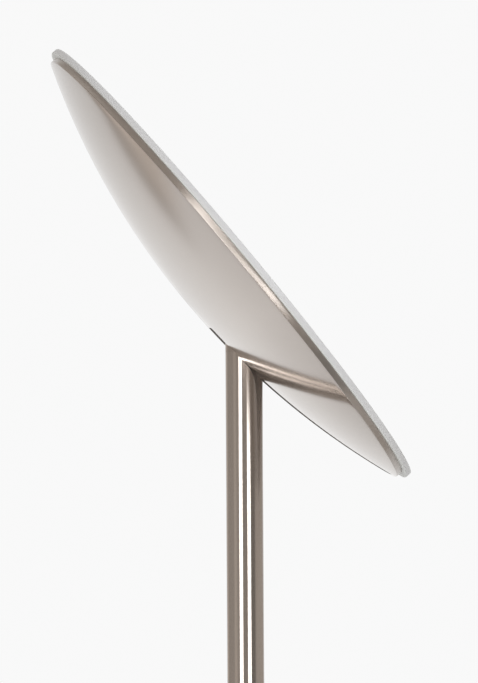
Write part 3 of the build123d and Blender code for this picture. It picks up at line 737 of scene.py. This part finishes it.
def etched_glass(finishes, sizes):
    """Etched glass: a soft white face, a greyer ring of painted shade over the rim below it, where the metal keeps
    light from coming through the glass, and a ground edge.
    """
    shader = Shader("etched_glass")
    along = shader.add("ShaderNodeSeparateXYZ", {"Vector": shader.brushing()}).outputs["X"]
    radius, thickness = sizes.glass_radius, sizes.glass_thickness
    half = thickness / 2
    from_edge = shader.sum("ABSOLUTE", shader.sum("SUBTRACT", along, radius + half))
    inward = shader.sum("SUBTRACT", from_edge, half)
    edge = shader.ramp(inward, 0.0, -sizes.glass_edge)
    ring_width, fade_out, fade_in = radius - sizes.flange_radius, 0.003, 0.001
    # Painted shade: the face turns greyer where the dish's rim lies under the glass
    rim_shade_mask = shader.ramp(inward, ring_width + fade_out, ring_width - fade_in)
    fine = shader.noise(shader.place(), ETCH_PER_METRE, 3.0)
    cloud = shader.noise(shader.place(), GLASS_CLOUDS_PER_METRE)
    gloss = finishes.glass_gloss
    face = shader.vary(finishes.glass_face, GLASS_COLOUR_SPREAD, cloud)
    ring = shader.mix(rim_shade_mask, face, finishes.glass_rim_shade)
    return shader.finish(
        Base_Color=shader.mix(edge, ring, finishes.glass_edge),
        Roughness=shader.ramp(fine, 0.0, 1.0, gloss - GLOSS_SPREAD, gloss + GLOSS_SPREAD, "LINEAR"),
        IOR=GLASS_IOR,
    )


def grained(name, base, scale, depth, roughness, spread=0.12, metallic=0.0, detail=4.0):
    """A finish with an even grain: noise in the piece's own space for its colour, gloss and surface."""
    shader = Shader(name)
    place = shader.place()
    grain = shader.noise(place, scale, detail)
    patch = shader.noise(place, scale / GRAINS_IN_A_PATCH)
    smooth, rough = roughness - GLOSS_SPREAD, roughness + GLOSS_SPREAD
    return shader.finish(
        Base_Color=shader.vary(base, spread, patch),
        Metallic=metallic,
        Roughness=shader.ramp(grain, 0.0, 1.0, smooth, rough, "LINEAR"),
        Normal=shader.bump(grain, depth, GRAIN_BUMP),
    )


def finish_named(name):
    """A finish that is already made."""
    return bpy.data.materials[name]


class LAMP_OT_finishes(bpy.types.Operator):
    """Finishes of the pieces, and of the nodes that keep their own shape"""

    bl_idname = "lamp.finishes"
    bl_label = "Finishes"

    def execute(self, context):
        sizes, finishes = context.scene.lamp_sizes, context.scene.lamp_finishes
        nickel = finishes.nickel
        brushed_nickel("spun_nickel", nickel, finishes.bowl_gloss, finishes.bowl_grain, 5000.0, 0.0000005)
        brushed_nickel("band_nickel", nickel, finishes.band_gloss, finishes.band_grain, 9000.0, 0.000002)
        brushed_nickel("tube_nickel", nickel, finishes.tube_gloss, finishes.tube_grain, 7000.0, 0.000001)
        brushed_nickel("base_nickel", nickel, finishes.base_gloss, finishes.base_grain, 5000.0, 0.000001)
        etched_glass(finishes, sizes)
        grained("dish_lining", finishes.lining, 900.0, 0.00001, 0.5, 0.03)
        # The cut edge's dark colour is partly its own duller tone and partly painted shade along the slot
        grained("cut_edge", finishes.cut_edge, 1500.0, 0.000002, 0.5, 0.04)
        made = self.node_finishes(finishes)
        for name, node in frame["nodes"].items():
            finish = made.get(node_slots[name])
            for slot in node.material_slots:
                slot.material = finish or slot.material
        return {"FINISHED"}

    def node_finishes(self, finishes):
        """Finishes by slot.

        A finish has its colour, grain per metre, grain depth, roughness, spread of colour and metallic.
        """
        return {
            "satin_nickel": grained("plain_nickel", finishes.nickel, 1500.0, 0.000002, 0.24, 0.04, 1.0),
            "plain_steel": grained("zinc_plate", finishes.steel, 1200.0, 0.00001, 0.34, 0.06, 1.0),
            "black_rubber": grained("matt_rubber", finishes.rubber, 1600.0, 0.00003, 0.72),
            "pan_aluminium": grained("mill_aluminium", finishes.aluminium, 700.0, 0.00001, 0.38, 0.04, 1.0),
            "white_film": grained("reflector_film", finishes.film, 900.0, 0.000004, 0.5, 0.02),
            "clear_acrylic": grained("guide_acrylic", finishes.acrylic, 300.0, 0.000002, 0.12, 0.02),
            "led_board": grained("board_mask", finishes.film, 1500.0, 0.000004, 0.42, 0.04),
            "led_lens": grained("chip_phosphor", finishes.phosphor, 2500.0, 0.000004, 0.3, 0.06),
            "black_plastic": grained("moulded_plastic", finishes.plastic, 2200.0, 0.00003, 0.46),
            "weight_iron": grained("cast_iron", finishes.iron, 420.0, 0.00015, 0.62, 0.25),
            "lead_sleeve": grained("sleeve_plastic", finishes.plastic, 1400.0, 0.00001, 0.4),
            "washer_fibre": grained("red_fibre", finishes.fibre, 1100.0, 0.00003, 0.7, 0.2),
        }


class Patch(NamedTuple):
    """A patch of wall: its start, its end and how soft its edges are, in degrees of turn, and its level."""

    start: float
    end: float
    soft: float
    level: float


# The studio's walls, whose turns go from the camera's side, apart from the paper's edge
CAMERA_WALL = Patch(-19.0, 12.0, 2.0, 0.78)
DARK_WALL = Patch(32.5, 60.0, 2.5, 0.45)
DEEP_CORNER = Patch(32.0, 68.0, 3.0, 0.25)
RIGHT_WALL = Patch(68.0, 132.0, 6.0, 1.2)
PALE_WALL = Patch(-76.0, -57.0, 4.0, 1.5)
PAPER_EDGE = Patch(-44.0, -31.0, 2.0, 1.75)

# Heights in degrees: where a fade starts and ends, or a stretch's start, end and softness
LOW_WALL = (18.0, 6.0)
HIGH_WALL = (22.0, 36.0, 1.0, 0.9)
DEEP_CORNER_TOP = (-18.0, -28.0)
RIGHT_WALL_HEIGHT = (-24.0, 24.0, 6.0)

# The lit paper, whose turns go from the backdrop, and the fall of its light from a slanting ridge
PAPER_WALL = (-27.4, 42.0, 1.2)
PAPER_WALL_TOP = (24.0, 14.0)
PAPER_SWEEP = (-95.0, 42.0, 6.0)
PAPER_SWEEP_TOP = (-17.0, -23.0)
PAPER_FLOOR_TOP = (-50.0, -62.0)
RIDGE_TURN = 9.7
RIDGE_SLOPE = 0.75
RIDGE_FALL = (0.0, 20.0, 0.97, 0.7)
PAPER_LOW_FALL = (-21.0, -33.0, 1.0, 0.86)

# The soft boxes' heights, and the light overhead: its direction, then its edge as cosines and its strength
LEFT_BOX_HEIGHT = (-28.0, 20.0, 1.5)
RIGHT_BOX_HEIGHT = (-14.5, 23.0, 1.5)
BOX_SIDE_SOFT = 0.5
OVERHEAD = (0.35, 0.35, 0.87)
OVERHEAD_EDGE = (0.66, 0.76, 0.0, 0.23)


class Studio(Nodes):
    """The studio round the lamp, painted by a ray's turn and height in degrees.

    Turns go about Z, one counted from the backdrop behind the lamp and one from the camera's side.
    """

    def __init__(self, tree):
        super().__init__(tree)
        self.ray = self.add("ShaderNodeTexCoord").outputs["Generated"]
        x, y, z = self.add("ShaderNodeSeparateXYZ", {0: self.ray}).outputs
        self.behind = self.product(self.sum("ARCTAN2", x, y), 180 / pi)
        self.front = self.product(self.sum("ARCTAN2", x, self.product(y, -1.0)), 180 / pi)
        self.height = self.product(self.sum("ARCSINE", z), 180 / pi)

    def product(self, first, *others):
        """All its factors multiplied."""
        for other in others:
            first = self.sum("MULTIPLY", first, other)
        return first

    def between(self, value, start, end, soft):
        """1 from a start to an end and 0 beyond them, with soft edges."""
        rise = self.ramp(value, start - soft, start + soft)
        return self.product(rise, self.ramp(value, end + soft, end - soft))

    def patch(self, turn, patch, *within):
        """1 outside a patch of wall and its level inside it."""
        inside = self.product(self.between(turn, patch.start, patch.end, patch.soft), *within)
        return self.ramp(inside, 0.0, 1.0, 1.0, patch.level, "LINEAR")

    def lit(self):
        """Where the paper is: the wall behind the lamp, the sweep down from it, and the floor."""
        wall = self.product(self.between(self.behind, *PAPER_WALL), self.ramp(self.height, *PAPER_WALL_TOP))
        sweep_top = self.ramp(self.height, *PAPER_SWEEP_TOP)
        sweep = self.product(sweep_top, self.between(self.behind, *PAPER_SWEEP))
        floor = self.ramp(self.height, *PAPER_FLOOR_TOP)
        return self.sum("MAXIMUM", self.sum("MAXIMUM", wall, sweep), floor)

    def paper(self):
        """The paper's level, which falls off on both sides of a slanting ridge, and low down."""
        rise = self.product(self.sum("SUBTRACT", self.behind, RIDGE_TURN), RIDGE_SLOPE)
        aside = self.sum("ABSOLUTE", self.sum("SUBTRACT", self.height, rise))
        level = self.ramp(aside, *RIDGE_FALL, "LINEAR")
        level = self.product(level, self.ramp(self.height, *PAPER_LOW_FALL, "LINEAR"))
        return self.add("ShaderNodeCombineXYZ", {0: level, 1: level, 2: level}).outputs[0]

    def walls(self, paint):
        """The walls beside the paper: one colour, darker or paler in patches."""
        low = self.ramp(self.height, *LOW_WALL)
        shade = self.product(
            self.patch(self.front, CAMERA_WALL),
            self.patch(self.front, DARK_WALL),
            self.patch(self.front, PALE_WALL, low),
            self.patch(self.behind, PAPER_EDGE, low),
            self.ramp(self.height, *HIGH_WALL),
            self.patch(self.front, DEEP_CORNER, self.ramp(self.height, *DEEP_CORNER_TOP)),
            self.patch(self.front, RIGHT_WALL, self.between(self.height, *RIGHT_WALL_HEIGHT)),
        )
        return self.add("ShaderNodeVectorMath", {0: paint, "Scale": shade}, operation="SCALE").outputs[0]

    def box(self, turn, width, heights):
        """Where a soft box is, from its middle's turn, its width and its heights."""
        start, end = degrees(turn - width / 2), degrees(turn + width / 2)
        across = self.between(self.front, start, end, BOX_SIDE_SOFT)
        return self.product(across, self.between(self.height, *heights))

    def boxes(self, stage):
        """Two soft boxes on the camera's side, and a weaker round light overhead."""
        left = self.box(stage.left_box, stage.box_width, LEFT_BOX_HEIGHT)
        right = self.box(stage.right_box, stage.box_width, RIGHT_BOX_HEIGHT)
        toward = {0: self.ray, 1: OVERHEAD}
        over = self.add("ShaderNodeVectorMath", toward, operation="DOT_PRODUCT").outputs["Value"]
        return self.sum("ADD", self.sum("ADD", left, right), self.ramp(over, *OVERHEAD_EDGE))


class LAMP_OT_stage(bpy.types.Operator):
    """Camera, pale floor, soft boxes and studio"""

    bl_idname = "lamp.stage"
    bl_label = "Stage"

    def execute(self, context):
        stage = context.scene.lamp_stage
        self.set_camera(context, stage)
        self.lay_floor(context, stage)
        self.paint_studio(context, stage)
        context.scene.view_settings.view_transform = "Standard"
        return {"FINISHED"}

    def set_camera(self, context, stage):
        """Look along a turned and pitched line at a point just below the head, with a little roll."""
        turn, pitch, roll = stage.view_turn, stage.view_pitch, stage.view_roll
        look = Vector((sin(turn) * cos(pitch), cos(turn) * cos(pitch), sin(pitch)))
        right = look.cross(Vector(UP)).normalized()
        up = right.cross(look)
        right, up = cos(roll) * right + sin(roll) * up, cos(roll) * up - sin(roll) * right
        camera = bpy.data.objects.new("camera", bpy.data.cameras.new("camera"))
        camera.data.lens = stage.lens
        camera.data.clip_end = FAR_CLIP
        context.scene.collection.objects.link(camera)
        target = Vector(stage.view_target)
        axes = Matrix((right, up, -look)).transposed().to_4x4()
        camera.matrix_world = Matrix.Translation(target - look * stage.view_distance) @ axes
        context.scene.camera = camera

    def lay_floor(self, context, stage):
        """A flat disc whose edge fades away."""
        shader = Shader("studio_floor")
        place = shader.place()
        reach = shader.add("ShaderNodeVectorMath", {0: place}, operation="LENGTH").outputs["Value"]
        fade = shader.ramp(reach, *(part * stage.floor_radius for part in FLOOR_FADE))
        grain = shader.noise(place, FLOOR_CLOUDS_PER_METRE)
        pale = shader.vary(stage.floor, FLOOR_COLOUR_SPREAD, grain)
        material = shader.finish(Base_Color=pale, Roughness=FLOOR_ROUGHNESS, Alpha=fade)
        radius = np.linspace(0, stage.floor_radius, FLOOR_RINGS)
        turn = np.arange(FLOOR_COLUMNS) * TURN / FLOOR_COLUMNS
        x, y = np.outer(radius, np.cos(turn)), np.outer(radius, np.sin(turn))
        points = np.stack([x, y, np.zeros(x.shape)], -1).reshape(-1, 3)
        number = np.arange(x.size).reshape(x.shape)
        beside = np.roll(number, -1, 1)
        faces = np.stack([number[:-1], number[1:], beside[1:], beside[:-1]], -1).reshape(-1, 4)
        mesh = bpy.data.meshes.new("floor")
        mesh.from_pydata(points, [], faces)
        mesh.materials.append(material)
        floor = bpy.data.objects.new("floor", mesh)
        context.scene.collection.objects.link(floor)
        floor.visible_glossy = False

    def paint_studio(self, context, stage):
        """Plain white to the camera, and to all else lit paper, walls, soft boxes and a light overhead."""
        world = bpy.data.worlds.new("studio")
        context.scene.world = world
        world.use_nodes = True
        world.node_tree.nodes.clear()
        studio = Studio(world.node_tree)
        seen = studio.mix(studio.lit(), studio.walls(stage.room), studio.paper())
        seen = studio.mix(studio.boxes(stage), seen, [stage.box_glow] * 3)
        camera_ray = studio.add("ShaderNodeLightPath").outputs["Is Camera Ray"]
        level = studio.mix(camera_ray, seen, [stage.white] * 3)
        background = studio.add("ShaderNodeBackground", {"Color": level, "Strength": 1.0})
        studio.add("ShaderNodeOutputWorld", {"Surface": background.outputs[0]})


class LAMP_OT_dish(bpy.types.Operator):
    """Slotted dish, the channel inside its slot and the glass top"""

    bl_idname = "lamp.dish"
    bl_label = "Dish and glass"

    def execute(self, context):
        sizes = context.scene.lamp_sizes
        make_dish(sizes)
        make_channel(sizes)
        origin, downhill, _, outward = head_frame(sizes)
        radius, thickness, edge = sizes.glass_radius, sizes.glass_thickness, sizes.glass_edge
        corners = [(0, 0), (radius, 0), (radius, thickness), (0, thickness)]
        turned(
            "glass_top",
            rounded(corners, [0, edge, edge, 0]),
            origin,
            outward,
            downhill,
            GLASS_COLUMNS,
            False,
            body="head",
            slot="frosted_glass",
            materials=["etched_glass"],
            replaced=["glass_diffuser"],
        )
        return {"FINISHED"}


class LAMP_OT_pole(bpy.types.Operator):
    """Three lengths of the pole's tube, the middle one drilled for the dimmer"""

    bl_idname = "lamp.pole"
    bl_label = "Pole"

    def execute(self, context):
        sizes = context.scene.lamp_sizes
        for node in ("pole_lower", "pole_upper"):
            profile = self.profile(sizes, node)
            turned(node + "_tube", profile, np.zeros(3), UP, ALONG_X, POLE_COLUMNS, **self.ties(node))
        self.drill(sizes, "pole_middle")
        return {"FINISHED"}

    def ties(self, node):
        """What every tube is tied to."""
        return {"body": "stand", "slot": "satin_nickel", "materials": ["tube_nickel"], "replaced": [node]}

    def profile(self, sizes, node):
        """A tube's wall, with its outside ends rounded."""
        low, high = (corner.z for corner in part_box(node))
        outside, inside = sizes.pole_radius, sizes.pole_radius - sizes.pole_wall
        corners = [(inside, low), (outside, low), (outside, high), (inside, high)]
        return rounded(corners, [0, sizes.pole_edge, sizes.pole_edge, 0], POLE_EDGE_POINTS)

    def drill(self, sizes, node):
        """A tube with a round hole in its front: a lower and an upper part that meet level with the hole.

        In the hole's width the parts draw back from each other by sqrt(hole^2 - x^2), and their walls show.
        """
        hole, level = sizes.bezel_sleeve, dimmer_height()
        profile = self.profile(sizes, node)
        half = len(profile) // 2
        inside, outside = profile[0, 0], sizes.pole_radius
        low, high = profile[:half], profile[half:]
        radius = np.concatenate([[inside], low[:, 0], [outside, outside], high[:, 0], [inside]])
        base = np.concatenate([[level], low[:, 1], [level, level], high[:, 1], [level]])
        low_in, low_out, high_out, high_in = 0, half + 1, half + 2, 2 * half + 3

        x = hole * np.cos(np.linspace(pi, 0, HOLE_COLUMNS))
        away = np.concatenate([np.sqrt(np.maximum(hole**2 - x**2, 0)), np.zeros(BEHIND_HOLE_COLUMNS)])
        away[[0, HOLE_COLUMNS - 1]] = 0.0
        front = np.arcsin(x / radius[:, None])
        rest = np.linspace(front[:, -1], TURN + front[:, 0], BEHIND_HOLE_COLUMNS + 2, axis=1)[:, 1:-1]
        turn = np.concatenate([front, rest], 1)
        draw = np.zeros(len(base))
        draw[[low_in, low_out]] = -1.0
        draw[[high_in, high_out]] = 1.0
        height = base[:, None] + draw[:, None] * away
        points = np.stack([radius[:, None] * np.sin(turn), -radius[:, None] * np.cos(turn), height], -1)

        number = np.arange(height.size).reshape(height.shape)
        shut = away == 0
        number[high_out, shut] = number[low_out, shut]
        number[high_in, shut] = number[low_in, shut]
        lower = chain(half + 2)
        strips = np.concatenate([lower, lower + half + 2])
        kept = np.ones((len(strips), len(away)), bool)
        kept[[half + 1, 2 * half + 3]] = ~(shut & np.roll(shut, -1))
        along = np.broadcast_to(height - base[0], height.shape)
        make_skin(
            node + "_tube", points, along, turn / TURN, strips, number=number, kept=kept, **self.ties(node)
        )


class LAMP_OT_dimmer(bpy.types.Operator):
    """Push dimmer: the bezel that sits on the pole's round, and the button in it"""

    bl_idname = "lamp.dimmer"
    bl_label = "Dimmer"

    def execute(self, context):
        sizes = context.scene.lamp_sizes
        self.make_bezel(sizes)
        self.make_button(sizes)
        return {"FINISHED"}

    def make_bezel(self, sizes):
        """A ring about the button. Its back follows the pole, at a reach of sqrt(pole^2 - (r cos t)^2)."""
        bore, room = sizes.bezel_bore, sizes.bezel_room
        sleeve, flange = sizes.bezel_sleeve, sizes.bezel_flange
        face, floor, lip = sizes.bezel_face, sizes.bezel_floor, sizes.bezel_lip
        edge = sizes.bezel_edge
        radius = [bore, bore, bore + edge, flange - edge, flange, flange, sleeve, sleeve, room, room]
        reach = [lip, face - edge, face, face, face - edge, 0.0, 0.0, floor, floor, lip]
        radius, reach = np.array(radius)[:, None], np.array(reach)[:, None]
        turn = np.arange(BEZEL_COLUMNS) / BEZEL_COLUMNS
        saddle = np.sqrt(sizes.pole_radius**2 - (radius * np.cos(turn * TURN)) ** 2)
        reach = np.where(reach > 0, reach, saddle)
        points = np.stack(
            [
                radius * np.cos(turn * TURN),
                -reach,
                dimmer_height() + radius * np.sin(turn * TURN),
            ],
            -1,
        )
        profile = np.concatenate([radius, reach[:, :1]], 1)
        shape = reach.shape
        make_skin(
            "bezel",
            points,
            np.broadcast_to(climb(profile)[:, None], shape),
            np.broadcast_to(turn, shape),
            chain(len(radius)),
            body="stand",
            slot="satin_nickel",
            materials=["base_nickel"],
            replaced=["dimmer_bezel"],
        )

    def make_button(self, sizes):
        """A turned button with a lip behind the bezel and a rounded front edge."""
        low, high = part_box("dimmer_button")
        back, face = -high.y, -low.y
        radius, lip, front = sizes.button_radius, high.x, back + sizes.button_lip
        edge, crown = sizes.button_edge, sizes.button_crown
        corners = [(0, back), (lip, back), (lip, front), (radius, front), (radius, face), (0, face)]
        turned(
            "button",
            rounded(corners, [0, edge, edge, 0, crown, 0]),
            np.array([0.0, 0.0, dimmer_height()]),
            -ALONG_Y,
            ALONG_X,
            FITTING_COLUMNS,
            False,
            body="dimmer_button",
            slot="satin_nickel",
            materials=["base_nickel"],
            replaced=["dimmer_button"],
        )


class LAMP_OT_base(bpy.types.Operator):
    """Spun base cover, the collar round the pole and the cord entry's gland"""

    bl_idname = "lamp.base"
    bl_label = "Base"

    def execute(self, context):
        sizes = context.scene.lamp_sizes
        self.make_cover(sizes)
        self.make_collar(sizes)
        self.make_gland(sizes)
        return {"FINISHED"}

    def make_cover(self, sizes):
        """A shallow pan, turned about the pole, whose lower edge rises over the gland at the back.

        Heights under the rounded edge are drawn up in proportion, so that the lowest follows the notch:
        the gland's height + sqrt(neck^2 - x^2) within the neck's width.
        """
        low, high = (corner.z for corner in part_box("base_cover"))
        outside, inside = sizes.base_radius, sizes.base_radius - sizes.cover_sheet
        under, bore = high - sizes.cover_sheet, sizes.cover_bore
        corners = [(bore, high), (outside, high), (outside, low)]
        corners += [(inside, low), (inside, under), (bore, under)]
        hem = sizes.cover_hem
        radii = [0, sizes.base_edge, hem, hem, sizes.base_edge - sizes.cover_sheet, 0]
        profile = rounded(corners, radii, COVER_EDGE_POINTS)
        neck, level = sizes.gland_neck, gland_height()
        x = neck * np.cos(np.linspace(pi, 0, NOTCH_COLUMNS))
        x = np.concatenate([[-neck - sizes.notch_edge], x, [neck + sizes.notch_edge]])
        lift = level + np.sqrt(np.maximum(neck**2 - x**2, 0)) - low
        lift[[0, -1]] = 0.0
        notch = np.arcsin(x / outside)
        rest = np.linspace(notch[-1], TURN + notch[0], COVER_COLUMNS + 2)[1:-1]
        turn = np.concatenate([notch, rest])
        lift = np.concatenate([lift, np.zeros(rest.shape)])
        edge_low = high - sizes.base_edge
        height = np.broadcast_to(profile[:, 1, None], (len(profile), len(turn)))
        part = np.clip((edge_low - height) / (edge_low - low), 0, 1)
        height = height + part * lift
        radius = np.broadcast_to(profile[:, :1], height.shape)
        points = np.stack([radius * np.sin(turn), radius * np.cos(turn), height], -1)
        make_skin(
            "base_cover_skin",
            points,
            np.broadcast_to(climb(profile)[:, None], height.shape),
            np.broadcast_to(turn / TURN, height.shape),
            chain(len(profile)),
            body="stand",
            slot="satin_nickel",
            materials=["base_nickel"],
            replaced=["base_cover"],
        )

    def make_collar(self, sizes):
        """A foot, then a hollow flare up to a thin lip: a chord bowed inwards by 4 hollow s (1 - s)."""
        low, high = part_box("pole_collar")
        bore, edge, fine = sizes.pole_radius + sizes.collar_fit, high.x, sizes.collar_edge
        lip = bore + sizes.collar_lip
        start, end = np.array([edge, low.z + sizes.collar_foot]), np.array([lip, high.z])
        chord = end - start
        aside = np.array([-chord[1], chord[0]]) / np.linalg.norm(chord)
        s = np.linspace(0, 1, FLARE_POINTS + 2)[1:-1, None]
        flare = start + chord * s + aside * 4 * sizes.collar_hollow * s * (1 - s)
        corners = np.concatenate([[(bore, low.z), (edge, low.z), start], flare, [end, (bore, high.z)]])
        radii = [0, fine, 2 * fine] + [0] * len(flare) + [fine, 0]
        turned(
            "collar",
            rounded(corners, radii),
            np.zeros(3),
            UP,
            ALONG_X,
            POLE_COLUMNS,
            body="stand",
            slot="satin_nickel",
            materials=["base_nickel"],
            replaced=["pole_collar"],
        )

    def make_gland(self, sizes):
        """A rubber grommet: a rounded flange outside, a neck in the notch, and a flange and tail inside."""
        low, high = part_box("cord_gland")
        flange, neck, bore = high.x, sizes.gland_neck, sizes.gland_bore
        thick, fine = sizes.gland_flange, sizes.gland_edge
        out, inner = high.y - thick, sizes.base_radius - sizes.cover_sheet - sizes.gland_gap
        corners = [(bore, low.y), (bore, high.y), (flange, high.y)]
        corners += [(flange, out), (neck, out), (neck, inner)]
        corners += [(flange, inner), (flange, inner - thick), (neck, inner - thick), (neck, low.y)]
        radii = [fine, sizes.gland_mouth, sizes.gland_crown, fine, 0, 0, fine, fine, 0, fine]
        turned(
            "gland",
            rounded(corners, radii),
            np.array([0.0, 0.0, gland_height()]),
            ALONG_Y,
            ALONG_X,
            FITTING_COLUMNS,
            body="stand",
            slot="black_rubber",
            materials=["matt_rubber"],
            replaced=["cord_gland"],
        )


class LAMP_OT_lead(bpy.types.Operator):
    """Lead that bends across the hinge, from the knuckle to the control module"""

    bl_idname = "lamp.lead"
    bl_label = "Hinge lead"

    def execute(self, context):
        sizes = context.scene.lamp_sizes
        origin, downhill, across, outward = head_frame(sizes)
        route = np.array(LEAD_ROUTE)
        knots = origin + route[:, :1] * downhill - route[:, 1:] * outward
        path = self.smooth(knots)
        step = np.gradient(path, axis=0)
        ahead = step / np.linalg.norm(step, axis=1, keepdims=True)
        aside = np.cross(ahead, across)
        turn = np.arange(LEAD_COLUMNS) / LEAD_COLUMNS
        radius = sizes.lead_radius
        ring = np.cos(turn * TURN)[:, None] * aside[:, None] + np.sin(turn * TURN)[:, None] * across
        ends = path[[0, -1], None] + np.zeros((2, LEAD_COLUMNS, 3))
        points = np.concatenate([ends[:1], path[:, None] + radius * ring, ends[1:]])
        grid = points.shape[:2]
        number = np.arange(points.size // 3).reshape(grid)
        number[[0, -1]] = number[[0, -1], :1]
        along = np.concatenate([[0.0], climb(path) + radius, [climb(path)[-1] + 2 * radius]])
        piece = make_skin(
            "hinge_lead_sleeve",
            points,
            np.broadcast_to(along[:, None], grid),
            np.broadcast_to(turn, grid),
            chain(len(points), False),
            body=None,
            slot="lead_sleeve",
            materials=["sleeve_plastic"],
            replaced=["hinge_lead"],
            number=number,
        )
        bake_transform(piece)
        return {"FINISHED"}

    def smooth(self, knots):
        """Points along a smooth curve that the route's points draw to themselves."""
        curve = bpy.data.curves.new("route", "CURVE")
        curve.dimensions = "3D"
        curve.resolution_u = LEAD_POINTS
        spline = curve.splines.new("NURBS")
        spline.points.add(len(knots) - 1)
        spline.points.foreach_set("co", np.concatenate([knots, np.ones((len(knots), 1))], 1).ravel())
        spline.order_u = 3
        spline.use_endpoint_u = True
        carrier = bpy.data.objects.new("route", curve)
        mesh = bpy.data.meshes.new_from_object(carrier)
        path = np.zeros(3 * len(mesh.vertices))
        mesh.vertices.foreach_get("co", path)
        bpy.data.objects.remove(carrier)
        bpy.data.meshes.remove(mesh)
        bpy.data.curves.remove(curve)
        return path.reshape(-1, 3)


class LAMP_PT_sidebar(bpy.types.Panel):
    """Steps and sizes of the lamp"""

    bl_idname = "LAMP_PT_sidebar"
    bl_label = "Torchiere lamp"
    bl_space_type = "VIEW_3D"
    bl_region_type = "UI"
    bl_category = "Lamp"

    def draw(self, context):
        layout = self.layout
        for step in STEPS:
            layout.operator(step.bl_idname)
        for group in (context.scene.lamp_sizes, context.scene.lamp_finishes, context.scene.lamp_stage):
            column = layout.box().column()
            for key in group.__annotations__:
                column.prop(group, key)


GROUPS = {"lamp_sizes": LampSizes, "lamp_finishes": LampFinishes, "lamp_stage": LampStage}
STEPS = (
    LAMP_OT_finishes,
    LAMP_OT_stage,
    LAMP_OT_dish,
    LAMP_OT_pole,
    LAMP_OT_dimmer,
    LAMP_OT_base,
    LAMP_OT_lead,
)


def register():
    for name, group in GROUPS.items():
        bpy.utils.register_class(group)
        setattr(bpy.types.Scene, name, PointerProperty(type=group))
    for step in STEPS:
        bpy.utils.register_class(step)
    bpy.utils.register_class(LAMP_PT_sidebar)


def unregister():
    bpy.utils.unregister_class(LAMP_PT_sidebar)
    for step in reversed(STEPS):
        bpy.utils.unregister_class(step)
    for name, group in GROUPS.items():
        delattr(bpy.types.Scene, name)
        bpy.utils.unregister_class(group)


def main():
    register()
    bpy.ops.lamp.finishes()
    bpy.ops.lamp.stage()
    bpy.ops.lamp.dish()
    bpy.ops.lamp.pole()
    bpy.ops.lamp.dimmer()
    bpy.ops.lamp.base()
    bpy.ops.lamp.lead()


if __name__ == "__main__":
    main()
